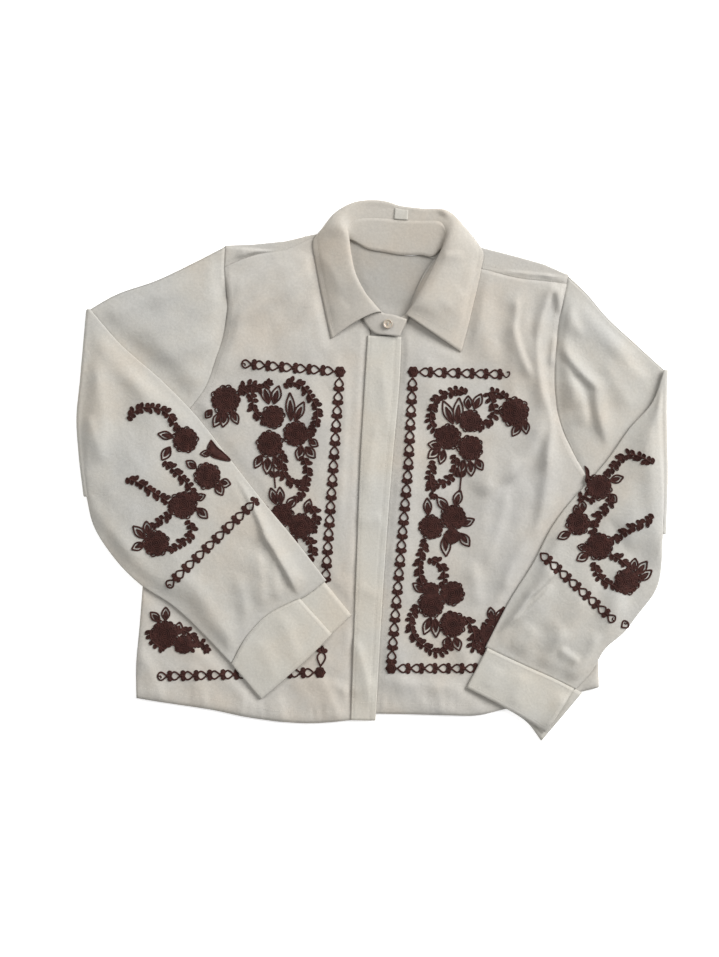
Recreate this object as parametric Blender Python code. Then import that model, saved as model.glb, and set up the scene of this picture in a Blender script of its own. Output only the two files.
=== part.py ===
"""A cropped cotton shirt with cord embroidery, laid on its back with both sleeves folded over its front.

The tables are in millimetres, in the part's own frame: +X towards the wearer's left, +Y towards the
collar, +Z up. Each cloth piece is a wall made from the grid of its middle surface.
Pieces stay SEAM apart.
"""

import math

import bmesh
import bpy
import numpy as np
from mathutils import Vector
from mathutils.bvhtree import BVHTree

MM = 0.001
CENTRE = (0.41, 0.21)           # moves the whole shirt so that its box is centred on the origin

# Cloth
CLOTH = 1.1                    # wall of one ply with its raised threads
DOUBLED = 1.5                  # wall of a placket, stand or cuff, sewn from two plies
LEAF = 1.2
SEAM = 0.3                     # between pieces that are sewn together
BACK_MID = CLOTH / 2
FRONT_MID = BACK_MID + CLOTH + SEAM
PLACKET_MID = FRONT_MID + CLOTH / 2 + SEAM + DOUBLED / 2
FRONT_TOP = FRONT_MID + CLOTH / 2
ARM_TOP = 3.3                  # top of an upper arm where its forearm presses it

# Outlines: rows of x, y
HEM_RIGHT = ((-22, -279.5), (-68, -283), (-136, -277), (-180, -268), (-226, -261), (-264, -255))
HEM_LEFT = ((-21, -272), (41, -273), (80, -274), (119, -274), (145, -268), (200, -256), (253, -243))
SIDE_RIGHT = ((-264, -255), (-264.5, -225), (-260, -169), (-257, -130), (-253, -60), (-248, 8))
SIDE_LEFT = ((253, -243), (251, -170), (248, -90), (246, -14))
ARMHOLE_RIGHT = ((-165, 250), (-166, 220), (-163, 203), (-162, 177), (-166, 153), (-175, 125), (-188, 91),
                 (-206, 67), (-225, 47), (-240, 28), (-248, 8))
ARMHOLE_LEFT = ((219, 217), (215, 198), (210, 175), (205.5, 140), (204, 112), (204.5, 85), (209, 56),
                (220, 28), (233, 4), (246, -14))
NECKLINE_RIGHT = ((-2.8, 154), (-6.5, 166), (-15.5, 187), (-24, 213), (-29, 238), (-36, 261))
NECKLINE_LEFT = ((-2, 150), (20, 150.5), (33, 156), (38, 172), (44, 190), (50, 204), (58, 220), (69, 236))
YOKE_SEAM_RIGHT = ((-36, 261), (-68, 258.5), (-97, 246.5), (-132, 240), (-165.5, 227))
YOKE_SEAM_LEFT = ((69, 236), (90, 232), (125, 224), (165, 214), (192, 211), (217.3, 208))
SHOULDER_RIGHT = ((-166, 250), (-132, 251.5), (-97, 255), (-68, 262), (-46, 265), (-34, 264))
SHOULDER_LEFT = ((68, 240), (76, 247), (90, 254), (106, 253), (125, 247), (162, 237.5),
                 (192, 229), (219, 217))
NECK_BACK = (                  # x, y and how much of the fold its edge still has
    (-31, 262.5, 0.66), (-26, 260, 0.33), (-20, 257.5, 0), (2, 247, 0), (26, 241.5, 0), (46, 240, 0),
    (54, 239.5, 0.33), (61, 239.5, 0.66),
)
NECK_TURN = 5.0
PLACKET_SEAM = ((-5, 150), (-6, 134), (-13, 16), (-18, -114), (-24, -279.5))
PLACKET_EDGE = ((32, 148.5), (30, 102), (22, 10), (13, -110), (3, -280))

YOKE_TURN = (FRONT_MID - BACK_MID) / 2

# Collar stand, from the buttoned end round the back of the neck: its seam and its upper edge
STAND_STATIONS = (
    ("seam_x", "seam_y", "seam_z", "top_x", "top_y", "top_z"),
    (30, 149.5, 7.2, 38, 168, 8.0),
    (16, 151, 6.9, 25, 172.5, 7.8),
    (2, 153.5, 5.6, 10, 176, 7.8),
    (-9, 166, 4.6, 0, 187, 9.4),
    (-17, 185, 4.2, -9, 198, 11.8),
    (-24.5, 211, 4.2, -19, 218, 12.6),
    (-29, 235, 4.3, -24, 239, 13.0),
    (-31, 249, 4.1, -26, 254, 12.2),
    (-27, 258, 3.7, -27.5, 267, 10.8),
    (-17, 254, 2.9, -23, 277, 8.8),
    (-4, 247, 2.4, -10, 281, 7.4),
    (13, 244, 2.2, 11, 281, 6.7),
    (30, 241, 2.2, 30, 279, 6.5),
    (50, 241, 3.1, 54, 278, 7.2),
    (68, 244, 3.9, 75, 277, 8.4),
    (80, 250, 3.6, 82, 264, 9.8),
    (74, 239, 4.1, 78, 247, 11.4),
    (61, 220, 4.1, 69, 226, 11.6),
    (52, 204, 4.1, 60, 209, 11.4),
    (46, 190, 4.1, 51, 195, 10.8),
    (40, 171, 3.9, 44, 183.5, 8.8),
    (33, 156.5, 3.7, 37, 173.5, 5.4),
    (24, 151.5, 3.65, 27, 169.5, 3.7),
)
LEAF_FIRST = 2                 # the stand's stations between which the leaf is sewn on
LEAF_LAST = 21
LEAF_SEAM = 0.7

# Collar leaf: how far it runs on from the stand and lifts, where its fall bends to, and its edge
LEAF_STATIONS = (
    ("rise", "lift", "fall_x", "fall_y", "fall_z", "edge_x", "edge_y", "edge_z"),
    (6, 5.0, -10, 176, 11.4, -46, 147, 3.6),
    (8, 3.6, -24, 178, 11.2, -50, 165, 3.6),
    (9, 1.6, -34, 190, 11.2, -54, 184, 3.6),
    (9, 0.4, -42, 212, 11.4, -59.5, 211, 3.6),
    (9, 0, -47, 234, 11.4, -63.5, 233, 3.6),
    (10, 0, -50, 256, 10.4, -66.5, 252, 3.6),
    (13, 0, -56, 274, 9.6, -62, 262, 3.6),
    (19, 0, -52, 292, 5.6, -40, 274, 1.2),
    (29, 0, -30, 308, 2.8, -16, 261, 0.6),
    (31, 0, 4, 311, 1.4, 11, 255, 0.6),
    (25, 0, 30, 305, 1.2, 30, 252.5, 0.6),
    (22, 0, 58, 301, 1.2, 54, 252, 0.6),
    (20, 0, 92, 297, 3.4, 80, 258, 0.6),
    (13, 0, 110, 278, 7.0, 106, 262, 1.4),
    (10, 0, 108, 256, 11.0, 123, 245, 3.6),
    (9, 0, 102, 228, 11.2, 121.5, 226, 3.6),
    (9, 0.4, 94, 206, 11.4, 117.5, 206, 3.6),
    (9, 2.4, 86, 188, 11.8, 113, 187, 3.6),
    (8, 4.6, 78, 168, 11.6, 107, 162, 3.6),
    (8, 7.0, 60, 158, 11.2, 99, 132, 3.6),
)

# Soft ridges of the two fronts: start, end, height and half width
RIDGES = (
    ("x0", "y0", "x1", "y1", "height", "width"),
    (-158, 160, -70, 215, 2.2, 16),
    (-155, 206, -190, 96, 2.4, 12),
    (-60, 60, -66, 130, 1.4, 14),
    (165, 185, 176, 100, 2.6, 13),
    (187, 162, 188, 50, 2.2, 12),
    (201, 56, 121, -12, 2.4, 14),
    (171, -34, 144, -146, 2.0, 15),
    (198, 0, 190, -200, 1.8, 17),
    (-196, 60, -170, -10, 1.6, 14),
    (-68, -258, -20, -262, 0.9, 12),
)

# Sleeves. The elbow line is the axis that the sleeve turns over on. Each edge runs from the body outwards.
ARMHOLE_GAP = 0.45
ARMPIT_GAP = 0.6
ELBOW_GAP = 0.7
ELBOW_RADIUS = 1.3             # inside the fold, from the cloth to its axis
KEEP_REACH = 12                # beyond the edge of what it lies on, before the forearm sinks
SINK_REACH = 30                # over which it sinks to the floor
FOLD_REACH = 46                # how far from the fold the forearm sinks to what it lies on
SLEEVE_RIGHT = {
    "armhole": ARMHOLE_RIGHT,
    "upper_edge": ((-165, 250), (-202, 231), (-240, 213), (-290, 195), (-316, 180)),
    "under_edge": ((-248, 8), (-266, -4), (-292, -18), (-319, -30)),
    "elbow": ((-316, 180), (-323, 101), (-327, 56), (-325, 22), (-319, -30)),
    "fore_upper": ((-316, 172), (-284, 143), (-235, 99.5), (-200, 64), (-159, 12), (-115, -44), (-89, -75),
                   (-53, -121.5)),
    "fore_under": ((-319, -36), (-311, -64), (-294, -92), (-257, -130), (-226, -150), (-184, -189),
                   (-160, -214.5)),
    "cuff_seam": ((-53, -121.5), (-80, -141), (-95, -147.5), (-118, -160), (-139, -181.5), (-160, -214.5)),
    "inward": 1,
}
SLEEVE_LEFT = {
    "armhole": ARMHOLE_LEFT,
    "upper_edge": ((219, 217), (238, 199), (263, 170), (290, 145), (326, 112)),
    "under_edge": ((246, -14), (266, -30), (296, -52), (324, -72)),
    "elbow": ((326, 112), (325, 78), (326, -11), (324, -72)),
    "fore_upper": ((325, 104), (314, 78), (286, 45), (268, 19), (199, -66), (181, -101), (153, -146),
                   (127, -196)),
    "fore_under": ((324, -80), (317, -134), (296, -163), (282, -181), (261, -199), (243, -228), (228, -243)),
    "cuff_seam": ((127, -196), (150, -207), (176, -219), (203, -231), (228, -243)),
    "inward": -1,
}
FOREARM_FOOTPRINTS = (
    ((-330, 182), (-284, 145), (-235, 101), (-199, 65), (-158, 12), (-115, -44), (-24, -162), (-125, -256),
     (-257, -130), (-330, -34)),
    ((331, 107), (268, 19), (199, -66), (147, -156), (105, -243), (189, -303), (261, -199), (330, -78)),
)
COLLAR_FOOTPRINTS = (
    ((-24, 300), (-67, 262), (-46, 147), (12, 176), (-8, 199), (-22, 250)),
    ((86, 290), (124, 245), (99, 132), (37, 172), (60, 204), (80, 256)),
)

# Cuffs: each layer's seam and end, from its free corner to the fold
CUFF_RIGHT = {
    "seam": ((-81, -144), (-95, -150), (-118, -162.5), (-139, -184), (-158, -217)),
    "end": ((-46, -183), (-63, -201), (-111, -244), (-125, -256)),
    "under_seam": ((-54.5, -124.5), (-80, -143.5), (-95, -150), (-118, -162.5), (-139, -184), (-158, -217)),
    "under_end": ((-24, -162), (-46, -183), (-63, -201), (-111, -244), (-125, -256)),
}
CUFF_LEFT = {
    "seam": ((225, -244.5), (203, -233.5), (176, -221.5), (150, -209.5), (128, -199)),
    "end": ((193, -293), (174, -280), (142, -262), (105, -243)),
    "under_seam": ((234, -249), (203, -233.5), (176, -221.5), (150, -209.5), (128, -199)),
    "under_end": ((189, -303), (174, -283), (142, -262.5), (105, -243)),
}
CUFF_GAP = 0.8

TAB_CLOTH = 0.9
TAB_ROWS = (9.7, 10.4)         # where the patch lies: stations along the leaf
TAB_COLUMNS = (0.03, 0.23)     # and shares of its width

BUTTON_AT = (17, 163)
BUTTON_RADIUS = 5.4
BUTTON_THICK = 2.3

# Embroidery. Chain borders: corner points of each run. Flowers: centre x, y and radius.
THREAD = 1.0                   # height of the raised thread
THREAD_LIFT = 0.45
CHAIN_PITCH = 16.0
CHAIN_WIDE = 4.6
CHAIN_NARROW = 1.6
CHAINS = {
    "chain_front_right": ("front_right", ((-146, 118.5), (-36.5, 110), (-52.5, -108))),
    "chain_hem_right": ("front_right", ((-241, -230), (-178, -230))),
    "chain_corner_right": ("front_right", ((-57, -206), (-59, -226), (-86, -229))),
    "chain_front_left": (
        "front_left", ((153, 105), (45.5, 110), (39, 0), (34, -68), (21, -222), (104, -222)),
    ),
    "chain_cuff_right": ("sleeve_right", ((-129, -33), (-229, -131))),
    "chain_cuff_left": ("sleeve_left", ((188, -93), (268, -167))),
}
FLOWERS = {
    "front_right": ((-164, 78, 17), (-111, 59, 14), (-86, 40, 14), (-115, 29, 13), (-82, -58, 14),
                    (-232, -185, 15)),
    "front_left": ((160, 66, 16), (109, 56, 12), (86, 37, 14), (110, 26, 13), (90, -53, 13), (66, -64, 13),
                   (89, -138, 13), (66, -150, 14), (90, -171, 14)),
    "sleeve_right": ((-209, 34, 14), (-184, -7, 15), (-211, -39, 15), (-241, -82, 15)),
    "sleeve_left": ((255, -23, 12), (229, -59, 13), (251, -85, 15), (284, -124, 14)),
}

# Grid sizes
ARMHOLE_STEPS = 8
YOKE_STEP = 3                  # armhole points that belong to the yoke
SIDE_STEPS = 10
NECK_STEPS = 6
YOKE_SEAM_STEPS = 10
UPPER_STEPS = 5
FOREARM_STEPS = 12
PLACKET_STEPS = 16
PLACKET_ACROSS = 3
COLLAR_STEPS = 2
STAND_ACROSS = 2
LEAF_ACROSS = 10
CUFF_DOWN = 3
CUFF_ACROSS = 6
TAB_STEPS = 4
BEND_ANGLES = (30, 60, 90, 120, 150)


def smooth(points, count):
    """Points at even steps along a soft curve through the given ones."""
    knots = np.array(points, float)
    spans = np.linalg.norm(np.diff(knots, axis=0), axis=1)
    at = np.concatenate([[0], np.cumsum(spans)])
    if len(knots) > 2:
        slopes = np.gradient(knots, at, axis=0)
    else:
        slopes = np.repeat(np.diff(knots, axis=0) / spans[0], 2, 0)
    where = np.linspace(0, at[-1], count + 1)
    index = np.clip(np.searchsorted(at, where, side="right") - 1, 0, len(spans) - 1)
    step = spans[index][:, None]
    t = ((where - at[index]) / spans[index])[:, None]
    start, end = knots[index], knots[index + 1]
    return (
        (2 * t**3 - 3 * t**2 + 1) * start
        + (t**3 - 2 * t**2 + t) * step * slopes[index]
        + (3 * t**2 - 2 * t**3) * end
        + (t**3 - t**2) * step * slopes[index + 1]
    )


def joined(*runs):
    """One row of points from (points, count) runs that share their corners."""
    rows = [smooth(points, count) for points, count in runs]
    return np.concatenate([rows[0]] + [row[1:] for row in rows[1:]])


def fraction(row):
    lengths = np.concatenate([[0], np.cumsum(np.linalg.norm(np.diff(row, axis=0), axis=1))])
    return lengths / lengths[-1]


def patch(start, end, first, last):
    """A grid between four rows of points: start and end run across, first and last run from start to end."""
    u = (fraction(first) + fraction(last))[:, None, None] / 2
    v = (fraction(start) + fraction(end))[None, :, None] / 2
    across = (1 - u) * start[None] + u * end[None]
    along = (1 - v) * first[:, None] + v * last[:, None]
    corners = (1 - u) * ((1 - v) * start[0] + v * start[-1]) + u * ((1 - v) * end[0] + v * end[-1])
    return across + along - corners


def unit(vectors):
    return vectors / np.linalg.norm(vectors, axis=-1, keepdims=True)


def soft_step(x):
    x = np.clip(x, 0, 1)
    return x * x * (3 - 2 * x)


def distance_to(plan, starts, ends):
    """Distance from each plan point to the nearest of the lines from the starts to the ends."""
    nearest = np.full(plan.shape[:-1], np.inf)
    for start, end in zip(starts, ends):
        run = end - start
        if run @ run > 0:
            t = np.clip((plan - start) @ run / (run @ run), 0, 1)
            nearest = np.minimum(nearest, np.linalg.norm(plan - start - t[..., None] * run, axis=-1))
    return nearest


def distance_outside(plan, outline):
    """Distance from each plan point to an outline, negative inside it."""
    corners = np.array(outline, float)
    points = plan.reshape(-1, 2)
    nearest = distance_to(points, corners, np.roll(corners, -1, axis=0))
    inside = np.zeros(len(points), bool)
    for start, end in zip(corners, np.roll(corners, -1, axis=0)):
        run = end - start
        crosses = (start[1] > points[:, 1]) != (end[1] > points[:, 1])
        rise = np.where(end[1] == start[1], 1e-9, end[1] - start[1])
        inside ^= crosses & (points[:, 0] < start[0] + (points[:, 1] - start[1]) * run[0] / rise)
    return np.where(inside, -nearest, nearest).reshape(plan.shape[:-1])


def body_outline():
    return np.concatenate([
        smooth(HEM_RIGHT, 10), smooth(SIDE_RIGHT, 10), smooth(ARMHOLE_RIGHT[::-1], 8),
        smooth(ARMHOLE_LEFT, 8), smooth(SIDE_LEFT[::-1], 8), smooth(HEM_LEFT[::-1], 10),
    ])


def arm_outline(sleeve):
    return np.concatenate([
        smooth(sleeve["upper_edge"], 8), smooth(sleeve["elbow"], 8),
        smooth(sleeve["under_edge"][::-1], 6), smooth(sleeve["armhole"][::-1], 8),
    ])


def ridge_height(plan):
    height = np.zeros(plan.shape[:-1])
    for x0, y0, x1, y1, rise, width in RIDGES[1:]:
        run = np.array([x1 - x0, y1 - y0], float)
        t = (plan - (x0, y0)) @ run / (run @ run)
        nearest = np.array([x0, y0]) + np.clip(t, 0, 1)[..., None] * run
        across = np.linalg.norm(plan - nearest, axis=-1)
        height = np.maximum(height, rise * np.exp(-((across / width) ** 2)))
    return height


def front_mid(plan):
    """Middle height of the fronts: flat at every seam and wherever something presses on them."""
    free = np.ones(plan.shape[:-1])
    for outline in FOREARM_FOOTPRINTS + COLLAR_FOOTPRINTS:
        free = np.minimum(free, soft_step(distance_outside(plan, outline) / 26 - 0.5))
    free = np.minimum(free, soft_step(-distance_outside(plan, body_outline()) / 22))
    placket = PLACKET_SEAM + PLACKET_EDGE[::-1]
    free = np.minimum(free, soft_step(distance_outside(plan, placket) / 16 - 0.2))
    return FRONT_MID + ridge_height(plan) * free


def carried_mid(plan, sleeve):
    """Middle height of cloth that lies on the body and the upper arm and sinks to the floor beside them."""
    beside_body = distance_outside(plan, body_outline()) - KEEP_REACH
    beside_arm = distance_outside(plan, arm_outline(sleeve)) - KEEP_REACH
    on_body = (FRONT_TOP + SEAM) * soft_step(1 - beside_body / SINK_REACH)
    on_arm = (ARM_TOP + SEAM) * soft_step(1 - beside_arm / SINK_REACH)
    return BACK_MID + np.maximum(on_body, on_arm)


def with_height(plan, height):
    return np.concatenate([plan, np.broadcast_to(height, plan.shape[:-1])[..., None]], axis=-1)


def material(name, colour, roughness, sheen=0.0):
    made = bpy.data.materials.new(name)
    made.use_nodes = True
    shader = made.node_tree.nodes["Principled BSDF"]
    shader.inputs["Base Color"].default_value = (*colour, 1)
    shader.inputs["Roughness"].default_value = roughness
    shader.inputs["Metallic"].default_value = 0
    shader.inputs["Sheen Weight"].default_value = sheen
    made.diffuse_color = (*colour, 1)
    return made


def cotton(name):
    return material(name, (0.80, 0.76, 0.69), 0.85, 0.2)


def thread(name):
    return material(name, (0.045, 0.018, 0.015), 0.7, 0.3)


def add_object(name, points, faces, finish):
    """One closed body, its faces turned outwards."""
    shape = bmesh.new()
    corners = [shape.verts.new(((x + CENTRE[0]) * MM, (y + CENTRE[1]) * MM, z * MM)) for x, y, z in points]
    for face in faces:
        shape.faces.new([corners[index] for index in face])
    bmesh.ops.recalc_face_normals(shape, faces=shape.faces)
    mesh = bpy.data.meshes.new(name)
    shape.to_mesh(mesh)
    shape.free()
    made = bpy.data.objects.new(name, mesh)
    made.data.materials.append(finish)
    mesh.shade_smooth()
    mesh.set_sharp_from_angle(angle=math.radians(40))
    bpy.context.scene.collection.objects.link(made)
    return made


def grid_normals(grid, ring):
    along = np.gradient(grid, axis=0)
    if ring:
        across = np.roll(grid, -1, axis=1) - np.roll(grid, 1, axis=1)
    else:
        across = np.gradient(grid, axis=1)
    normals = np.cross(along, across)
    return normals / np.linalg.norm(normals, axis=-1, keepdims=True)


def wall(name, grid, thickness, finish, ring=False):
    """A cloth wall round the grid of its middle surface. A ring closes on itself across its rows."""
    rows, columns = grid.shape[:2]
    offset = grid_normals(grid, ring) * thickness / 2
    points = np.concatenate([(grid + offset).reshape(-1, 3), (grid - offset).reshape(-1, 3)])
    middle = grid.reshape(-1, 3)
    other = rows * columns
    faces = []
    spans = columns if ring else columns - 1
    for row in range(rows - 1):
        for column in range(spans):
            after = (column + 1) % columns
            a, b = row * columns + column, row * columns + after
            c, d = b + columns, a + columns
            if np.linalg.norm(middle[a] - middle[c]) < np.linalg.norm(middle[b] - middle[d]):
                halves = (a, b, c), (a, c, d)
            else:
                halves = (a, b, d), (b, c, d)
            for half in halves:
                faces.append(half)
                faces.append([other + index for index in reversed(half)])
    for column in range(spans):
        after = (column + 1) % columns
        for row in (0, rows - 1):
            a, b = row * columns + column, row * columns + after
            faces.append([a, b, other + b, other + a])
    if not ring:
        for row in range(rows - 1):
            for column in (0, columns - 1):
                a, b = row * columns + column, (row + 1) * columns + column
                faces.append([a, b, other + b, other + a])
    return add_object(name, points, faces, finish)


def slab(name, outline, low, high, finish):
    """A flat piece of cloth cut to an outline."""
    count = len(outline)
    points = [(x, y, low) for x, y in outline] + [(x, y, high) for x, y in outline]
    faces = [list(range(count)), list(range(2 * count - 1, count - 1, -1))]
    for index in range(count):
        after = (index + 1) % count
        faces.append([index, after, count + after, count + index])
    return add_object(name, points, faces, finish)


def build_back():
    armhole_right = smooth(ARMHOLE_RIGHT, ARMHOLE_STEPS)[YOKE_STEP:]
    armhole_left = smooth(ARMHOLE_LEFT, ARMHOLE_STEPS)[YOKE_STEP:]
    hem = joined((HEM_RIGHT[::-1], 8), ((HEM_RIGHT[0], HEM_LEFT[0]), 1), (HEM_LEFT, 8))
    hem[1:-1, 1] += 2.0
    outline = np.concatenate([
        armhole_right[::-1], armhole_left, smooth(SIDE_LEFT[::-1], SIDE_STEPS)[1:], hem[::-1][1:],
        smooth(SIDE_RIGHT, SIDE_STEPS)[1:-1],
    ])
    return slab("back", outline, 0, CLOTH, cotton("back_cotton"))


def yoke_column(flat, x_top, y_top, front_seam, folded=1.0):
    """From the back seam up to the fold and over it to the front seam, as points of one column."""
    arc = math.pi * YOKE_TURN
    turned = y_top - front_seam + arc if folded == 1 else NECK_TURN
    front = (arc + turned) / 2, turned
    over_fold = np.array([-flat, -flat * 0.66, -flat * 0.33, -4, 0, arc / 2, arc, *front])
    plain = np.array([-flat, -flat * 0.66, -flat * 0.33, -5, -4, -3, -2, -1, 0])
    beyond = over_fold * folded + plain * (1 - folded)
    column = []
    for run in beyond:
        if run <= 0:
            column.append((x_top, y_top + run, BACK_MID))
        elif run < arc:
            angle = run / YOKE_TURN
            height = FRONT_MID - YOKE_TURN * (1 + math.cos(angle))
            column.append((x_top, y_top + YOKE_TURN * math.sin(angle), height))
        else:
            column.append((x_top, y_top - (run - arc), FRONT_MID))
    return column


def along(table, x):
    rows = np.array(table, float)
    return float(np.interp(x, rows[:, 0], rows[:, 1]))


def back_seam_y(x):
    right = smooth(ARMHOLE_RIGHT, ARMHOLE_STEPS)[YOKE_STEP]
    left = smooth(ARMHOLE_LEFT, ARMHOLE_STEPS)[YOKE_STEP]
    return float(np.interp(x, (right[0], left[0]), (right[1], left[1])))


def yoke_grid():
    shoulders = []
    for seam, shoulder in ((YOKE_SEAM_RIGHT[::-1], SHOULDER_RIGHT), (YOKE_SEAM_LEFT, SHOULDER_LEFT)):
        columns = []
        for x, y in smooth(seam, YOKE_SEAM_STEPS):
            top = along(shoulder, x)
            columns.append(yoke_column(top - back_seam_y(x) - SEAM, x, top, y + SEAM))
        shoulders.append(columns)
    neck = [yoke_column(y - back_seam_y(x) - SEAM, x, y, None, folded) for x, y, folded in NECK_BACK]
    right_edge, left_edge = shoulders[0][0], shoulders[1][-1]
    for column, armhole, gap in ((right_edge, ARMHOLE_RIGHT, 0.1), (left_edge, ARMHOLE_LEFT, -0.1)):
        samples = smooth(armhole, ARMHOLE_STEPS)
        column[:] = [(np.interp(-y, -samples[:, 1], samples[:, 0]) + gap, y, z) for x, y, z in column]
    return np.array(shoulders[0] + neck + shoulders[1])


def front_grid(hem, centre, neckline, yoke_seam, side, armhole):
    across = NECK_STEPS + YOKE_SEAM_STEPS
    bottom = smooth(hem, across)
    top = joined((neckline, NECK_STEPS), (yoke_seam, YOKE_SEAM_STEPS))
    edge = np.concatenate([smooth(side, SIDE_STEPS), armhole[1:]])
    middle = smooth(centre, SIDE_STEPS + ARMHOLE_STEPS)
    plan = patch(bottom, top, middle, edge)
    return with_height(plan, front_mid(plan))


def to_yoke_seam(armhole, seam_end):
    """The armhole from the armpit up to the end of the front yoke seam."""
    samples = smooth(armhole, ARMHOLE_STEPS)
    return np.concatenate([samples[:0:-1], [seam_end]])


def front_right_grid():
    centre = tuple((x + 2.2, y) for x, y in PLACKET_SEAM[::-1])
    hem = (centre[0],) + HEM_RIGHT[1:]
    centre = centre[:-1] + (NECKLINE_RIGHT[0],)
    return front_grid(hem, centre, NECKLINE_RIGHT, YOKE_SEAM_RIGHT, SIDE_RIGHT,
                      to_yoke_seam(ARMHOLE_RIGHT, YOKE_SEAM_RIGHT[-1]))


def front_left_grid():
    underlap = tuple((x + 3.0, y) for x, y in PLACKET_SEAM[::-1])
    underlap = (HEM_LEFT[0],) + underlap[1:]
    return front_grid(HEM_LEFT, underlap, NECKLINE_LEFT, YOKE_SEAM_LEFT, SIDE_LEFT,
                      to_yoke_seam(ARMHOLE_LEFT, YOKE_SEAM_LEFT[-1]))


def placket_grid():
    seam = smooth(PLACKET_SEAM, PLACKET_STEPS)
    edge = smooth(PLACKET_EDGE, PLACKET_STEPS)
    share = np.linspace(0, 1, PLACKET_ACROSS + 1)[None, :, None]
    plan = seam[:, None] * (1 - share) + edge[:, None] * share
    return with_height(plan, PLACKET_MID)


def stations(table, steps):
    """The rows of a table as points, with soft rows between them."""
    rows = np.array(table[1:], float)
    groups = rows.reshape(len(rows), -1, 3)
    return np.stack([smooth_stations(groups[:, column], steps) for column in range(groups.shape[1])], axis=1)


def smooth_stations(points, steps):
    count = len(points)
    slopes = np.gradient(points, axis=0)
    where = np.linspace(0, count - 1, (count - 1) * steps + 1)
    index = np.minimum(where.astype(int), count - 2)
    t = (where - index)[:, None]
    return (
        (2 * t**3 - 3 * t**2 + 1) * points[index]
        + (t**3 - 2 * t**2 + t) * slopes[index]
        + (3 * t**2 - 2 * t**3) * points[index + 1]
        + (t**3 - t**2) * slopes[index + 1]
    )


def stand_grid():
    ends = stations(STAND_STATIONS, COLLAR_STEPS)
    share = np.linspace(0, 1, STAND_ACROSS + 1)[None, :, None]
    return ends[:, :1] * (1 - share) + ends[:, 1:] * share


def leaf_grid():
    stand = STAND_STATIONS[:1] + STAND_STATIONS[1 + LEAF_FIRST:2 + LEAF_LAST]
    ends = stations(stand, COLLAR_STEPS)
    rows = np.array(LEAF_STATIONS[1:], float)
    rise, lift, fall, edge = (
        smooth_stations(rows[:, columns], COLLAR_STEPS)
        for columns in (slice(0, 1), slice(1, 2), slice(2, 5), slice(5, 8))
    )
    edge_run = unit(np.gradient(ends[:, 1], axis=0))
    up = ends[:, 1] - ends[:, 0]
    up = unit(up - (up * edge_run).sum(axis=-1, keepdims=True) * edge_run)
    start = ends[:, 1] + up * LEAF_SEAM
    roll = start + up * rise + lift * (0, 0, 1)
    t = np.linspace(0, 1, LEAF_ACROSS + 1)[None, :, None]
    start, roll, fall, edge = (points[:, None] for points in (start, roll, fall, edge))
    grid = (1 - t) ** 3 * start + 3 * (1 - t) ** 2 * t * roll + 3 * (1 - t) * t**2 * fall + t**3 * edge
    grid[..., 2] = np.maximum(grid[..., 2], LEAF / 2)
    return grid


def inset(plan, half):
    """The plan's rows with both ends drawn in by the tube's edge radius, and the points of the edges."""
    first = unit(plan[:, 1] - plan[:, 0])
    last = unit(plan[:, -2] - plan[:, -1])
    inner = plan.copy()
    inner[:, 0] += first * (CLOTH / 2 + half[:, :1])
    inner[:, -1] += last * (CLOTH / 2 + half[:, -1:])
    return inner, plan[:, 0] + first * CLOTH / 2, plan[:, -1] + last * CLOTH / 2


def tube_rings(plan, low, high):
    """Rings of a flattened tube: across one wall from edge to edge and back along the other."""
    inner, first_cap, last_cap = inset(plan, abs(high - low) / 2)
    middle = (high + low) / 2
    over, under = with_height(inner, high), with_height(inner, low)
    first_cap = with_height(first_cap, middle[:, 0])
    last_cap = with_height(last_cap, middle[:, -1])
    return np.concatenate([over, last_cap[:, None], under[:, ::-1], first_cap[:, None]], axis=1)


def bend_rings(row, inward):
    """Rings round the elbow fold, where the upper arm turns over to become the forearm."""
    half = (CLOTH + ELBOW_GAP) / 2
    radius = ELBOW_RADIUS + CLOTH + ELBOW_GAP / 2
    axis_height = BACK_MID + half + radius
    inner, first_cap, last_cap = inset(row[None], np.full((1, len(row)), half))
    rings = []
    for angle in BEND_ANGLES:
        turn = math.radians(angle)
        normal = np.array([inward * math.sin(turn), 0, math.cos(turn)])
        centre, first, last = (
            with_height(points, axis_height) - normal * radius for points in (inner[0], first_cap, last_cap)
        )
        rings.append(np.concatenate([centre + normal * half, last, (centre - normal * half)[::-1], first]))
    return np.array(rings)


def armhole_seam(sleeve):
    """The armhole moved out by a seam's gap, so that the sleeve's end meets the body edge to edge."""
    samples = smooth(sleeve["armhole"], ARMHOLE_STEPS)
    ahead = unit(np.gradient(samples, axis=0))
    outward = np.stack([ahead[:, 1], -ahead[:, 0]], axis=-1) * sleeve["inward"]
    gap = np.full((len(samples), 1), ARMHOLE_GAP)
    gap[-1] += ARMPIT_GAP
    return samples + outward * gap


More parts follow.
